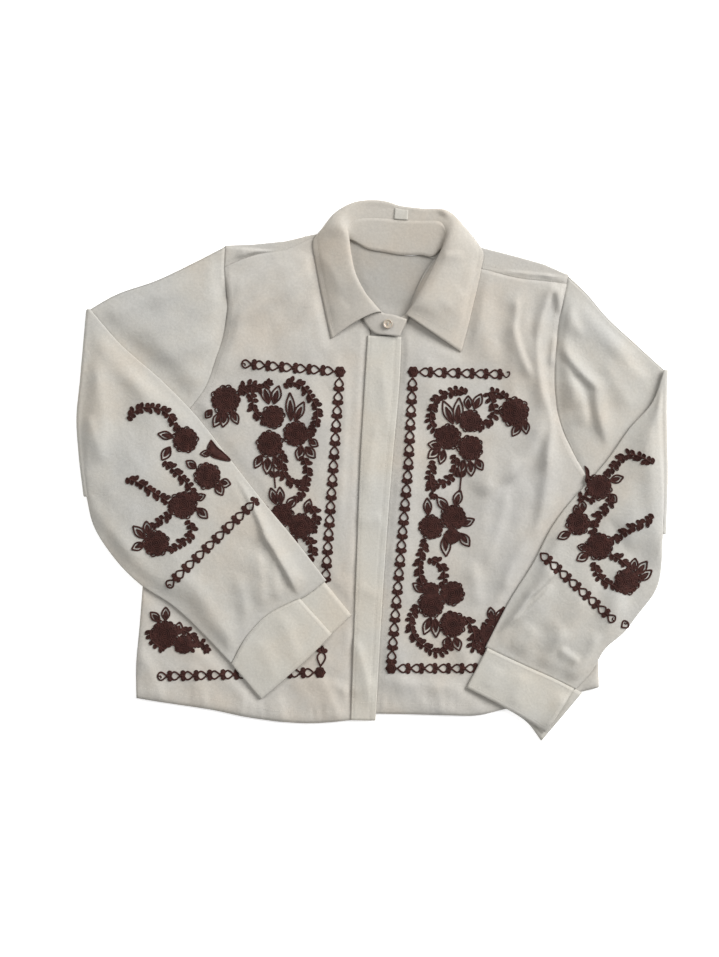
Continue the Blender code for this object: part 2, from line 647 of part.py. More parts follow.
def sleeve_grid(sleeve):
    across = ARMHOLE_STEPS
    armhole = armhole_seam(sleeve)
    elbow = smooth(sleeve["elbow"], across)
    upper_edge, under_edge = (smooth(sleeve[key], UPPER_STEPS) for key in ("upper_edge", "under_edge"))
    upper_edge[0], under_edge[0] = armhole[0], armhole[-1]
    plan = patch(armhole, elbow, upper_edge, under_edge)
    swell = np.sin(np.linspace(0, math.pi, across + 1))[None]
    run = np.linspace(0, 1, UPPER_STEPS + 1)[:, None]
    free = np.ones(plan.shape[:2])
    for outline in FOREARM_FOOTPRINTS:
        free = np.minimum(free, soft_step(distance_outside(plan, outline) / 26 - 0.15))
    low = np.full(plan.shape[:2], BACK_MID)
    high = low + CLOTH + ELBOW_GAP + 0.3 * swell * (1 - run) + 2.4 * swell * np.sin(math.pi * run) * free
    upper = tube_rings(plan, low, high)

    fore_upper = np.array(sleeve["fore_upper"], float)
    fore_under = np.array(sleeve["fore_under"], float)
    fore_upper[0], fore_under[0] = elbow[0], elbow[-1]
    plan = patch(elbow, smooth(sleeve["cuff_seam"], across), smooth(fore_upper, FOREARM_STEPS),
                 smooth(fore_under, FOREARM_STEPS))
    run = np.linspace(0, 1, FOREARM_STEPS + 1)[:, None]
    at_fold = BACK_MID + CLOTH + ELBOW_GAP + 2 * ELBOW_RADIUS + CLOTH
    near_fold = soft_step(1 - distance_to(plan, elbow[:-1], elbow[1:]) / FOLD_REACH)
    low = carried_mid(plan, sleeve) * (1 - near_fold) + at_fold * near_fold
    puff = 2.2 * swell**0.7 * soft_step(run * 6) * soft_step((1 - run) * 5)
    # The upper arm's top wall becomes the forearm's lower wall
    fore = tube_rings(plan, low + CLOTH + ELBOW_GAP + puff, low)
    return np.concatenate([upper, bend_rings(elbow, sleeve["inward"]), fore])


def cuff_grid(cuff, sleeve):
    """A band round the wrist, open at one side: the upper layer, the fold and the longer lower layer."""
    half = (DOUBLED + CUFF_GAP) / 2
    layers = []
    for seam, end in (("seam", "end"), ("under_seam", "under_end")):
        first, last = smooth(cuff[seam], CUFF_ACROSS), smooth(cuff[end], CUFF_ACROSS)
        share = np.linspace(0, 1, CUFF_DOWN + 1)[:, None, None]
        layers.append(first * (1 - share) + last * share)
    upper, under = layers
    toward = unit(under[:, -2] - under[:, -1])
    tip = under[:, -1] + toward * DOUBLED / 2
    upper[:, -1] += toward * (half + DOUBLED / 2)
    under[:, -1] += toward * (half + DOUBLED / 2)
    raise_by = (DOUBLED - CLOTH) / 2
    low = carried_mid(under, sleeve) + raise_by
    high = carried_mid(upper, sleeve) + raise_by + 2 * half
    tip = with_height(tip, low[:, -1] + half)
    return np.concatenate([with_height(upper, high), tip[:, None], with_height(under, low)[:, ::-1]], axis=1)


def build_button():
    """A flat round button with a raised rim, on the stand's buttoned end."""
    sides, base = 20, STAND_STATIONS[2][5] + DOUBLED / 2 + SEAM
    profile = ((0.9, 0), (1.0, 0.45), (1.0, 0.8), (0.88, 1.0), (0.66, 0.8))
    points, faces = [], []
    for share, rise in profile:
        for side in range(sides):
            turn = 2 * math.pi * side / sides
            reach = BUTTON_RADIUS * share
            points.append((BUTTON_AT[0] + reach * math.cos(turn), BUTTON_AT[1] + reach * math.sin(turn),
                           base + BUTTON_THICK * rise))
    for ring in range(len(profile) - 1):
        for side in range(sides):
            after = (side + 1) % sides
            faces.append([ring * sides + side, ring * sides + after, (ring + 1) * sides + after,
                          (ring + 1) * sides + side])
    faces.append(list(range(sides)))
    faces.append([(len(profile) - 1) * sides + side for side in range(sides)])
    return add_object("collar_button", points, faces, material("button_resin", (0.84, 0.80, 0.72), 0.35))


def between(grid, rows, columns):
    """Points of a grid at fractional rows and columns."""
    row, column = np.floor(rows).astype(int), np.floor(columns).astype(int)
    down, across = (rows - row)[:, None, None], (columns - column)[None, :, None]
    left = grid[row][:, column] * (1 - down) + grid[row + 1][:, column] * down
    right = grid[row][:, column + 1] * (1 - down) + grid[row + 1][:, column + 1] * down
    return left * (1 - across) + right * across


def tab_grid():
    """A small sewn patch on the inside of the collar, at the top of the back."""
    leaf = leaf_grid()
    lifted = leaf + unit(grid_normals(leaf, False)) * (LEAF / 2 + SEAM + TAB_CLOTH / 2)
    rows, columns = np.array(TAB_ROWS) * COLLAR_STEPS, np.array(TAB_COLUMNS) * LEAF_ACROSS
    return between(lifted, np.linspace(*rows, TAB_STEPS), np.linspace(*columns, TAB_STEPS))


def surface_of(made):
    corners = [corner.co / MM for corner in made.data.vertices]
    return BVHTree.FromPolygons(corners, [tuple(face.vertices) for face in made.data.polygons])


def height_at(surface, x, y, reach=4.5):
    """The highest point of the surface within a short reach."""
    heights = []
    for dx, dy in ((0, 0), (reach, 0), (-reach, 0), (0, reach), (0, -reach)):
        hit = surface.ray_cast(Vector((x + dx + CENTRE[0], y + dy + CENTRE[1], 60)), Vector((0, 0, -1)))[0]
        if hit:
            heights.append(hit.z)
    return max(heights)


def raised(name, surface, rims, hub=None):
    """A thread shape on a surface: a fan round its hub, or a band whose rim runs up one side and down the
    other."""
    count = len(rims)
    spots = list(rims) + ([hub] if hub else [])
    low = [(x, y, height_at(surface, x, y) + THREAD_LIFT) for x, y in spots]
    points = low + [(x, y, z + THREAD) for x, y, z in low]
    top = len(spots)
    faces = []
    for index in range(count):
        after = (index + 1) % count
        faces.append([index, after, top + after, top + index])
        if hub:
            faces.append([index, after, count])
            faces.append([top + index, top + after, top + count])
    if not hub:
        for index in range(count // 2 - 1):
            face = [index, index + 1, count - 2 - index, count - 1 - index]
            faces.append(face)
            faces.append([top + corner for corner in face])
    return add_object(name, points, faces, thread(name + "_thread"))


def build_flower(name, surface, x, y, radius, petals=6):
    rims = []
    for step in range(2 * petals):
        turn = math.pi * step / petals
        reach = radius * (1.0 if step % 2 == 0 else 0.72)
        rims.append((x + reach * math.cos(turn), y + reach * math.sin(turn)))
    return raised(name, surface, rims, (x, y))


def build_chain(name, surface, corners):
    """A chain border: wide at each link's middle and narrow between two links."""
    left, right = [], []
    corners = [np.array(corner, float) for corner in corners]
    for index in range(len(corners) - 1):
        run = corners[index + 1] - corners[index]
        length = np.linalg.norm(run)
        ahead = run / length
        side = np.array([-ahead[1], ahead[0]])
        halves = 2 * max(1, round(length / CHAIN_PITCH))
        first = 0 if index == 0 else 1
        for step in range(first, halves + 1):
            reach = CHAIN_WIDE if step % 2 else CHAIN_NARROW
            if step == halves and index < len(corners) - 2:
                after = corners[index + 2] - corners[index + 1]
                after /= np.linalg.norm(after)
                both = side + np.array([-after[1], after[0]])
                reach = CHAIN_WIDE if ahead @ after < 0.5 else CHAIN_NARROW
                across = both / (both @ side) * reach
            else:
                across = side * reach
            at = corners[index] + run * step / halves
            left.append(at + across)
            right.append(at - across)
    return raised(name, surface, [tuple(p) for p in left + right[::-1]])


def clear_scene():
    for old in list(bpy.data.objects):
        bpy.data.objects.remove(old, do_unlink=True)


def main():
    clear_scene()
    build_back()
    carriers = {}
    for name, grid, thickness, ring in (
        ("yoke", yoke_grid(), CLOTH, False),
        ("front_right", front_right_grid(), CLOTH, False),
        ("front_left", front_left_grid(), CLOTH, False),
        ("placket", placket_grid(), DOUBLED, False),
        ("collar_stand", stand_grid(), DOUBLED, False),
        ("collar_leaf", leaf_grid(), LEAF, False),
        ("neck_tab", tab_grid(), TAB_CLOTH, False),
        ("sleeve_right", sleeve_grid(SLEEVE_RIGHT), CLOTH, True),
        ("sleeve_left", sleeve_grid(SLEEVE_LEFT), CLOTH, True),
        ("cuff_right", cuff_grid(CUFF_RIGHT, SLEEVE_RIGHT), DOUBLED, False),
        ("cuff_left", cuff_grid(CUFF_LEFT, SLEEVE_LEFT), DOUBLED, False),
    ):
        carriers[name] = surface_of(wall(name, grid, thickness, cotton(name + "_cotton"), ring))
    build_button()
    for name, (carrier, corners) in CHAINS.items():
        build_chain(name, carriers[carrier], corners)
    for carrier, rows in FLOWERS.items():
        for number, (x, y, radius) in enumerate(rows, 1):
            build_flower(f"flower_{carrier}_{number}", carriers[carrier], x, y, radius)


main()
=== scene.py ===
"""Dresses the embroidered shirt: fine cloth with its folds, seams and stitches, cord embroidery, button, floor and light.

The tables are in millimetres in the part's own frame. Embroidery tables are in steps of PIXEL millimetres, x to the
wearer's left and y towards the hem, as the motifs are laid out on the front.
"""

import math

import bmesh
import bpy
import numpy as np
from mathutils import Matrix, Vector
from mathutils.bvhtree import BVHTree


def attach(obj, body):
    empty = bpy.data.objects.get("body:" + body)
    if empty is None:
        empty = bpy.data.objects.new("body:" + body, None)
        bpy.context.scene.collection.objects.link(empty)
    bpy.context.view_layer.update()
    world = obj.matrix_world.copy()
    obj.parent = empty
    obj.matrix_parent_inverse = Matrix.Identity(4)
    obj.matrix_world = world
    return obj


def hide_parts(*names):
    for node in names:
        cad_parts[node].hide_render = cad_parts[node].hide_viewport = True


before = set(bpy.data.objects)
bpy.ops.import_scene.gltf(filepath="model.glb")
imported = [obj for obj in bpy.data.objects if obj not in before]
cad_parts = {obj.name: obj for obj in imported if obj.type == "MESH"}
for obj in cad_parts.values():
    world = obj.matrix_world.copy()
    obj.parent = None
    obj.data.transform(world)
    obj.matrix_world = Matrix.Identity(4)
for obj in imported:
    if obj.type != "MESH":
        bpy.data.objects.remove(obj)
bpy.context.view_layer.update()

MM = 0.001
CENTRE = (0.41, 0.21)
CLOTH = 1.1
DOUBLED = 1.5
LEAF = 1.2
SEAM = 0.3
BACK_MID = CLOTH / 2
FRONT_MID = BACK_MID + CLOTH + SEAM
PLACKET_MID = FRONT_MID + CLOTH / 2 + SEAM + DOUBLED / 2
FRONT_TOP = FRONT_MID + CLOTH / 2
ARM_TOP = 3.3
HEM_RIGHT = ((-22, -279.5), (-68, -283), (-136, -277), (-180, -268), (-226, -261), (-264, -255))
HEM_LEFT = ((-21, -272), (41, -273), (80, -274), (119, -274), (145, -268), (200, -256), (253, -243))
SIDE_RIGHT = ((-264, -255), (-264.5, -225), (-260, -169), (-257, -130), (-253, -60), (-248, 8))
SIDE_LEFT = ((253, -243), (251, -170), (248, -90), (246, -14))
ARMHOLE_RIGHT = ((-165, 250), (-166, 220), (-163, 203), (-162, 177), (-166, 153), (-175, 125), (-188, 91),
                 (-206, 67), (-225, 47), (-240, 28), (-248, 8))
ARMHOLE_LEFT = ((219, 217), (215, 198), (210, 175), (205.5, 140), (204, 112), (204.5, 85), (209, 56),
                (220, 28), (233, 4), (246, -14))
NECKLINE_RIGHT = ((-2.8, 154), (-6.5, 166), (-15.5, 187), (-24, 213), (-29, 238), (-36, 261))
NECKLINE_LEFT = ((-2, 150), (20, 150.5), (33, 156), (38, 172), (44, 190), (50, 204), (58, 220), (69, 236))
YOKE_SEAM_RIGHT = ((-36, 261), (-68, 258.5), (-97, 246.5), (-132, 240), (-165.5, 227))
YOKE_SEAM_LEFT = ((69, 236), (90, 232), (125, 224), (165, 214), (192, 211), (217.3, 208))
SHOULDER_RIGHT = ((-166, 250), (-132, 251.5), (-97, 255), (-68, 262), (-46, 265), (-34, 264))
SHOULDER_LEFT = ((68, 240), (76, 247), (90, 254), (106, 253), (125, 247), (162, 237.5),
                 (192, 229), (219, 217))
NECK_BACK = (
    (-31, 262.5, 0.66), (-26, 260, 0.33), (-20, 257.5, 0), (2, 247, 0), (26, 241.5, 0), (46, 240, 0),
    (54, 239.5, 0.33), (61, 239.5, 0.66),
)
NECK_TURN = 5.0
PLACKET_SEAM = ((-5, 150), (-6, 134), (-13, 16), (-18, -114), (-24, -279.5))
PLACKET_EDGE = ((32, 148.5), (30, 102), (22, 10), (13, -110), (3, -280))
YOKE_TURN = (FRONT_MID - BACK_MID) / 2
STAND_STATIONS = (
    ("seam_x", "seam_y", "seam_z", "top_x", "top_y", "top_z"),
    (30, 149.5, 7.2, 38, 168, 8.0),
    (16, 151, 6.9, 25, 172.5, 7.8),
    (2, 153.5, 5.6, 10, 176, 7.8),
    (-9, 166, 4.6, 0, 187, 9.4),
    (-17, 185, 4.2, -9, 198, 11.8),
    (-24.5, 211, 4.2, -19, 218, 12.6),
    (-29, 235, 4.3, -24, 239, 13.0),
    (-31, 249, 4.1, -26, 254, 12.2),
    (-27, 258, 3.7, -27.5, 267, 10.8),
    (-17, 254, 2.9, -23, 277, 8.8),
    (-4, 247, 2.4, -10, 281, 7.4),
    (13, 244, 2.2, 11, 281, 6.7),
    (30, 241, 2.2, 30, 279, 6.5),
    (50, 241, 3.1, 54, 278, 7.2),
    (68, 244, 3.9, 75, 277, 8.4),
    (80, 250, 3.6, 82, 264, 9.8),
    (74, 239, 4.1, 78, 247, 11.4),
    (61, 220, 4.1, 69, 226, 11.6),
    (52, 204, 4.1, 60, 209, 11.4),
    (46, 190, 4.1, 51, 195, 10.8),
    (40, 171, 3.9, 44, 183.5, 8.8),
    (33, 156.5, 3.7, 37, 173.5, 5.4),
    (24, 151.5, 3.65, 27, 169.5, 3.7),
)
LEAF_FIRST = 2
LEAF_LAST = 21
LEAF_SEAM = -1.3
LEAF_STATIONS = (
    ("rise", "lift", "fall_x", "fall_y", "fall_z", "edge_x", "edge_y", "edge_z"),
    (6, 5.0, -10, 176, 11.4, -46, 147, 3.6),
    (8, 3.6, -24, 178, 11.2, -50, 165, 3.6),
    (9, 1.6, -34, 190, 11.2, -54, 184, 3.6),
    (9, 0.4, -42, 212, 11.4, -59.5, 211, 3.6),
    (9, 0, -47, 234, 11.4, -63.5, 233, 3.6),
    (10, 0, -50, 256, 10.4, -66.5, 252, 3.6),
    (13, 0, -56, 274, 9.6, -62, 262, 3.6),
    (19, 0, -52, 292, 5.6, -40, 274, 1.2),
    (29, 0, -30, 308, 2.8, -16, 261, 0.6),
    (31, 0, 4, 311, 1.4, 11, 255, 0.6),
    (25, 0, 30, 305, 1.2, 30, 252.5, 0.6),
    (22, 0, 58, 301, 1.2, 54, 252, 0.6),
    (20, 0, 92, 297, 3.4, 80, 258, 0.6),
    (13, 0, 110, 278, 7.0, 106, 262, 1.4),
    (10, 0, 108, 256, 11.0, 123, 245, 3.6),
    (9, 0, 102, 228, 11.2, 121.5, 226, 3.6),
    (9, 0.4, 94, 206, 11.4, 117.5, 206, 3.6),
    (9, 2.4, 86, 188, 11.8, 113, 187, 3.6),
    (8, 4.6, 78, 168, 11.6, 107, 162, 3.6),
    (8, 7.0, 60, 158, 11.2, 99, 132, 3.6),
)
RIDGES = (
    ("x0", "y0", "x1", "y1", "height", "width"),
    (-158, 160, -70, 215, 2.2, 16),
    (-155, 206, -190, 96, 2.4, 12),
    (-60, 60, -66, 130, 1.4, 14),
    (165, 185, 176, 100, 2.6, 13),
    (187, 162, 188, 50, 2.2, 12),
    (201, 56, 121, -12, 2.4, 14),
    (171, -34, 144, -146, 2.0, 15),
    (198, 0, 190, -200, 1.8, 17),
    (-196, 60, -170, -10, 1.6, 14),
    (-68, -258, -20, -262, 0.9, 12),
)
ARMHOLE_GAP = 0.12
YOKE_GAP = 0.08
ARMPIT_GAP = 0.3
ELBOW_GAP = 0.7
ELBOW_RADIUS = 1.3
KEEP_REACH = 12
SINK_REACH = 30
FOLD_REACH = 46
SLEEVE_RIGHT = {
    "armhole": ARMHOLE_RIGHT,
    "upper_edge": ((-165, 250), (-202, 231), (-240, 213), (-290, 195), (-316, 180)),
    "under_edge": ((-248, 8), (-266, -4), (-292, -18), (-319, -30)),
    "elbow": ((-316, 180), (-323, 101), (-327, 56), (-325, 22), (-319, -30)),
    "fore_upper": ((-316, 172), (-284, 143), (-235, 99.5), (-200, 64), (-159, 12), (-115, -44), (-89, -75),
                   (-53, -121.5)),
    "fore_under": ((-319, -36), (-311, -64), (-294, -92), (-257, -130), (-226, -150), (-184, -189),
                   (-160, -214.5)),
    "cuff_seam": ((-53, -121.5), (-80, -141), (-95, -147.5), (-118, -160), (-139, -181.5), (-160, -214.5)),
    "inward": 1,
}
SLEEVE_LEFT = {
    "armhole": ARMHOLE_LEFT,
    "upper_edge": ((219, 217), (238, 199), (263, 170), (290, 145), (326, 112)),
    "under_edge": ((246, -14), (266, -30), (296, -52), (324, -72)),
    "elbow": ((326, 112), (325, 78), (326, -11), (324, -72)),
    "fore_upper": ((325, 104), (314, 78), (286, 45), (268, 19), (199, -66), (181, -101), (153, -146),
                   (127, -196)),
    "fore_under": ((324, -80), (317, -134), (296, -163), (282, -181), (261, -199), (243, -228), (228, -243)),
    "cuff_seam": ((127, -196), (150, -207), (176, -219), (203, -231), (228, -243)),
    "inward": -1,
}
FOREARM_FOOTPRINTS = (
    ((-330, 182), (-284, 145), (-235, 101), (-199, 65), (-158, 12), (-115, -44), (-24, -162), (-125, -256),
     (-257, -130), (-330, -34)),
    ((331, 107), (268, 19), (199, -66), (147, -156), (105, -243), (189, -303), (261, -199), (330, -78)),
)
COLLAR_FOOTPRINTS = (
    ((-24, 300), (-67, 262), (-46, 147), (12, 176), (-8, 199), (-22, 250)),
    ((86, 290), (124, 245), (99, 132), (37, 172), (60, 204), (80, 256)),
)
CUFF_RIGHT = {
    "seam": ((-81, -144), (-95, -150), (-118, -162.5), (-139, -184), (-158, -217)),
    "end": ((-46, -183), (-63, -201), (-111, -244), (-125, -256)),
    "under_seam": ((-54.5, -124.5), (-80, -143.5), (-95, -150), (-118, -162.5), (-139, -184), (-158, -217)),
    "under_end": ((-24, -162), (-46, -183), (-63, -201), (-111, -244), (-125, -256)),
}
CUFF_LEFT = {
    "seam": ((225, -244.5), (203, -233.5), (176, -221.5), (150, -209.5), (128, -199)),
    "end": ((193, -293), (174, -280), (142, -262), (105, -243)),
    "under_seam": ((234, -249), (203, -233.5), (176, -221.5), (150, -209.5), (128, -199)),
    "under_end": ((189, -303), (174, -283), (142, -262.5), (105, -243)),
}
CUFF_GAP = 0.8
TAB_CLOTH = 0.9
TAB_ROWS = (9.7, 10.4)
TAB_COLUMNS = (0.03, 0.23)
BUTTON_AT = (17, 163)
BUTTON_RADIUS = 5.4
BUTTON_THICK = 2.3
ARMHOLE_STEPS = 72
YOKE_STEP = 27
SIDE_STEPS = 70
NECK_STEPS = 34
YOKE_SEAM_STEPS = 60
NECK_ACROSS = 40
UPPER_STEPS = 36
FOREARM_STEPS = 110
PLACKET_STEPS = 150
PLACKET_ACROSS = 28
COLLAR_STEPS = 8
STAND_ACROSS = 10
LEAF_ACROSS = 44
CUFF_DOWN = 16
CUFF_ACROSS = 30
TAB_STEPS = 12
EDGE_ANGLES = (36, 72, 108, 144)
EDGE_SOFTNESS = 9.0
BEND_ANGLES = tuple(range(10, 180, 10))
CAMERA_HEIGHT = 2400
VIEW_TALL = 1071.8
VIEW_CENTRE = (-14.6, -9.5)
KEY_POWER = 490
FILL_POWER = 100
WORLD_POWER = 0.30
# Painted neck shade: its centre, the distance within which it is full and the distance where it has faded out
NECK_SHADE_CENTRE = (31, 236)
NECK_SHADE_FULL = 48
NECK_SHADE_END = 62
STAND_LAP = 4.5
FLOOR_GLOW = 0.5
FOLD_GAIN = 1.75
GROOVE = 0.35
GROOVE_WIDTH = 1.2
CHAIN_NODES = (
    ("chain_front_right", "front_right"),
    ("chain_hem_right", "front_right"),
    ("chain_corner_right", "front_right"),
    ("chain_front_left", "front_left"),
    ("chain_cuff_right", "sleeve_right"),
    ("chain_cuff_left", "sleeve_left"),
)
CUFF_TUCK = {1: (1.3, -1.7), -1: (-1.0, -1.8)}
YOKE_CREASES = (
    (-150, 238, -118, 248, 1.3, 6, 2, 0), (-110, 242, -84, 256, 1.0, 6, 0, 0), (90, 250, 122, 238, 1.8, 3, 2, 0.5),
    (112, 245, 150, 231, 2.0, 3, 2, 0.5), (140, 238, 176, 224, 2.0, 3, -2, 0.5), (166, 231, 200, 219, 1.8, 3, 1, 0.5),
    (124, 234, 158, 222, 1.4, 3, 1, 0.4),
)
PLACKET_CREASES = (
    (-20, -190, -4, -262, 1.3, 7, 3, 0.3), (6, 60, -6, -30, 0.7, 7, -2, 0), (10, 120, 18, 40, 0.7, 7, 0, 0),
    (-22, -250, 2, -236, 0.8, 6, 0, 0), (-16, -60, 10, -52, 0.6, 8, 0, 0), (-18, -130, 8, -140, 0.6, 8, 0, 0),
)
CUFF_CREASES = (
    (-104, -160, -84, -214, 1.0, 9, 2, 0.3), (-130, -190, -110, -230, 0.8, 9, 2, 0), (170, -230, 158, -262, 1.0, 9, -2, 0),
    (216, -254, 194, -292, 2.4, 8, 0, 0), (140, -222, 128, -244, 0.8, 8, 0, 0),
)


def smooth(points, count):
    """Points at even steps along a soft curve through the given ones."""
    knots = np.array(points, float)
    spans = np.linalg.norm(np.diff(knots, axis=0), axis=1)
    at = np.concatenate([[0], np.cumsum(spans)])
    if len(knots) > 2:
        slopes = np.gradient(knots, at, axis=0)
    else:
        slopes = np.repeat(np.diff(knots, axis=0) / spans[0], 2, 0)
    where = np.linspace(0, at[-1], count + 1)
    index = np.clip(np.searchsorted(at, where, side="right") - 1, 0, len(spans) - 1)
    step = spans[index][:, None]
    t = ((where - at[index]) / spans[index])[:, None]
    start, end = knots[index], knots[index + 1]
    return (
        (2 * t**3 - 3 * t**2 + 1) * start
        + (t**3 - 2 * t**2 + t) * step * slopes[index]
        + (3 * t**2 - 2 * t**3) * end
        + (t**3 - t**2) * step * slopes[index + 1]
    )


def joined(*runs):
    """One row of points from (points, count) runs that share their corners."""
    rows = [smooth(points, count) for points, count in runs]
    return np.concatenate([rows[0]] + [row[1:] for row in rows[1:]])


def fraction(row):
    lengths = np.concatenate([[0], np.cumsum(np.linalg.norm(np.diff(row, axis=0), axis=1))])
    return lengths / lengths[-1]


def patch(start, end, first, last):
    """A grid between four rows of points: start and end run across, first and last run from start to end."""
    u = (fraction(first) + fraction(last))[:, None, None] / 2
    v = (fraction(start) + fraction(end))[None, :, None] / 2
    across = (1 - u) * start[None] + u * end[None]
    along = (1 - v) * first[:, None] + v * last[:, None]
    corners = (1 - u) * ((1 - v) * start[0] + v * start[-1]) + u * ((1 - v) * end[0] + v * end[-1])
    return across + along - corners


def unit(vectors):
    return vectors / np.linalg.norm(vectors, axis=-1, keepdims=True)


def soft_step(x):
    x = np.clip(x, 0, 1)
    return x * x * (3 - 2 * x)


def distance_to(plan, starts, ends):
    """Distance from each plan point to the nearest of the lines from the starts to the ends."""
    nearest = np.full(plan.shape[:-1], np.inf)
    for start, end in zip(starts, ends):
        run = end - start
        if run @ run > 0:
            t = np.clip((plan - start) @ run / (run @ run), 0, 1)
            nearest = np.minimum(nearest, np.linalg.norm(plan - start - t[..., None] * run, axis=-1))
    return nearest


def distance_outside(plan, outline):
    """Distance from each plan point to an outline, negative inside it."""
    corners = np.array(outline, float)
    points = plan.reshape(-1, 2)
    nearest = distance_to(points, corners, np.roll(corners, -1, axis=0))
    inside = np.zeros(len(points), bool)
    for start, end in zip(corners, np.roll(corners, -1, axis=0)):
        run = end - start
        crosses = (start[1] > points[:, 1]) != (end[1] > points[:, 1])
        rise = np.where(end[1] == start[1], 1e-9, end[1] - start[1])
        inside ^= crosses & (points[:, 0] < start[0] + (points[:, 1] - start[1]) * run[0] / rise)
    return np.where(inside, -nearest, nearest).reshape(plan.shape[:-1])


def body_outline():
    return np.concatenate([
        smooth(HEM_RIGHT, 10), smooth(SIDE_RIGHT, 10), smooth(ARMHOLE_RIGHT[::-1], 8),
        smooth(ARMHOLE_LEFT, 8), smooth(SIDE_LEFT[::-1], 8), smooth(HEM_LEFT[::-1], 10),
    ])


def arm_outline(sleeve):
    return np.concatenate([
        smooth(sleeve["upper_edge"], 8), smooth(sleeve["elbow"], 8),
        smooth(sleeve["under_edge"][::-1], 6), smooth(sleeve["armhole"][::-1], 8),
    ])


def ridge_height(plan):
    height = np.zeros(plan.shape[:-1])
    for x0, y0, x1, y1, rise, width in RIDGES[1:]:
        run = np.array([x1 - x0, y1 - y0], float)
        t = (plan - (x0, y0)) @ run / (run @ run)
        nearest = np.array([x0, y0]) + np.clip(t, 0, 1)[..., None] * run
        across = np.linalg.norm(plan - nearest, axis=-1)
        height = np.maximum(height, rise * np.exp(-((across / width) ** 2)))
    return height


def front_mid(plan):
    """Middle height of the fronts: flat at every seam and wherever something presses on them."""
    free = np.ones(plan.shape[:-1])
    for outline in FOREARM_FOOTPRINTS + COLLAR_FOOTPRINTS:
        free = np.minimum(free, soft_step(distance_outside(plan, outline) / 26 - 0.5))
    free = np.minimum(free, soft_step(-distance_outside(plan, body_outline()) / 22))
    placket = PLACKET_SEAM + PLACKET_EDGE[::-1]
    free = np.minimum(free, soft_step(distance_outside(plan, placket) / 16 - 0.2))
    return FRONT_MID + ridge_height(plan) * free


def carried_mid(plan, sleeve):
    """Middle height of cloth that lies on the body and the upper arm and sinks to the floor beside them."""
    beside_body = distance_outside(plan, body_outline()) - KEEP_REACH
    beside_arm = distance_outside(plan, arm_outline(sleeve)) - KEEP_REACH
    on_body = (FRONT_TOP + SEAM) * soft_step(1 - beside_body / SINK_REACH)
    on_arm = (ARM_TOP + SEAM) * soft_step(1 - beside_arm / SINK_REACH)
    return BACK_MID + np.maximum(on_body, on_arm)


def with_height(plan, height):
    return np.concatenate([plan, np.broadcast_to(height, plan.shape[:-1])[..., None]], axis=-1)


def grid_normals(grid, ring):
    along = np.gradient(grid, axis=0)
    if ring:
        across = np.roll(grid, -1, axis=1) - np.roll(grid, 1, axis=1)
    else:
        across = np.gradient(grid, axis=1)
    normals = np.cross(along, across)
    return normals / np.linalg.norm(normals, axis=-1, keepdims=True)


def yoke_column(flat, x_top, y_top, front_seam, folded=1.0):
    """From the back seam up to the fold and over it to the front seam, as points of one column."""
    arc = math.pi * YOKE_TURN
    turned = y_top - front_seam + arc if folded == 1 else NECK_TURN
    over_fold = np.concatenate([np.linspace(-flat, -4, 12), arc * np.linspace(0, 1, 9), np.linspace(arc, turned, 16)[1:]])
    plain = np.concatenate([np.linspace(-flat, -9, 12), np.linspace(-8, 0, 24)])
    beyond = over_fold * folded + plain * (1 - folded)
    column = []
    for run in beyond:
        if run <= 0:
            column.append((x_top, y_top + run, BACK_MID))
        elif run < arc:
            angle = run / YOKE_TURN
            column.append((x_top, y_top + YOKE_TURN * math.sin(angle), FRONT_MID - YOKE_TURN * (1 + math.cos(angle))))
        else:
            column.append((x_top, y_top - (run - arc), FRONT_MID))
    return column


def along(table, x):
    rows = np.array(table, float)
    return float(np.interp(x, rows[:, 0], rows[:, 1]))


def back_seam_y(x):
    right = smooth(ARMHOLE_RIGHT, ARMHOLE_STEPS)[YOKE_STEP]
    left = smooth(ARMHOLE_LEFT, ARMHOLE_STEPS)[YOKE_STEP]
    return float(np.interp(x, (right[0], left[0]), (right[1], left[1])))


def yoke_grid():
    shoulders = []
    for seam, shoulder in ((YOKE_SEAM_RIGHT[::-1], SHOULDER_RIGHT), (YOKE_SEAM_LEFT, SHOULDER_LEFT)):
        columns = []
        for x, y in smooth(seam, YOKE_SEAM_STEPS):
            top = along(shoulder, x)
            columns.append(yoke_column(top - back_seam_y(x) - YOKE_GAP, x, top, y + YOKE_GAP))
        shoulders.append(columns)
    neck = [yoke_column(y - back_seam_y(x) - YOKE_GAP, x, y, None, folded) for x, y, folded in smooth(NECK_BACK, NECK_ACROSS)]
    right_edge, left_edge = shoulders[0][0], shoulders[1][-1]
    for column, armhole, gap in ((right_edge, ARMHOLE_RIGHT, 0.1), (left_edge, ARMHOLE_LEFT, -0.1)):
        samples = smooth(armhole, ARMHOLE_STEPS)
        column[:] = [(np.interp(-y, -samples[:, 1], samples[:, 0]) + gap, y, z) for x, y, z in column]
    return np.array(shoulders[0] + neck + shoulders[1])


def front_grid(hem, centre, neckline, yoke_seam, side, armhole):
    across = NECK_STEPS + YOKE_SEAM_STEPS
    bottom = smooth(hem, across)
    top = joined((neckline, NECK_STEPS), (yoke_seam, YOKE_SEAM_STEPS))
    edge = np.concatenate([smooth(side, SIDE_STEPS), armhole[1:]])
    middle = smooth(centre, len(edge) - 1)
    plan = patch(bottom, top, middle, edge)
    return with_height(plan, front_mid(plan))


def to_yoke_seam(armhole, seam_end):
    """The armhole from the armpit up to the end of the front yoke seam."""
    samples = smooth(armhole, ARMHOLE_STEPS)[::-1]
    return np.concatenate([samples[samples[:, 1] < seam_end[1] - 1], [seam_end]])


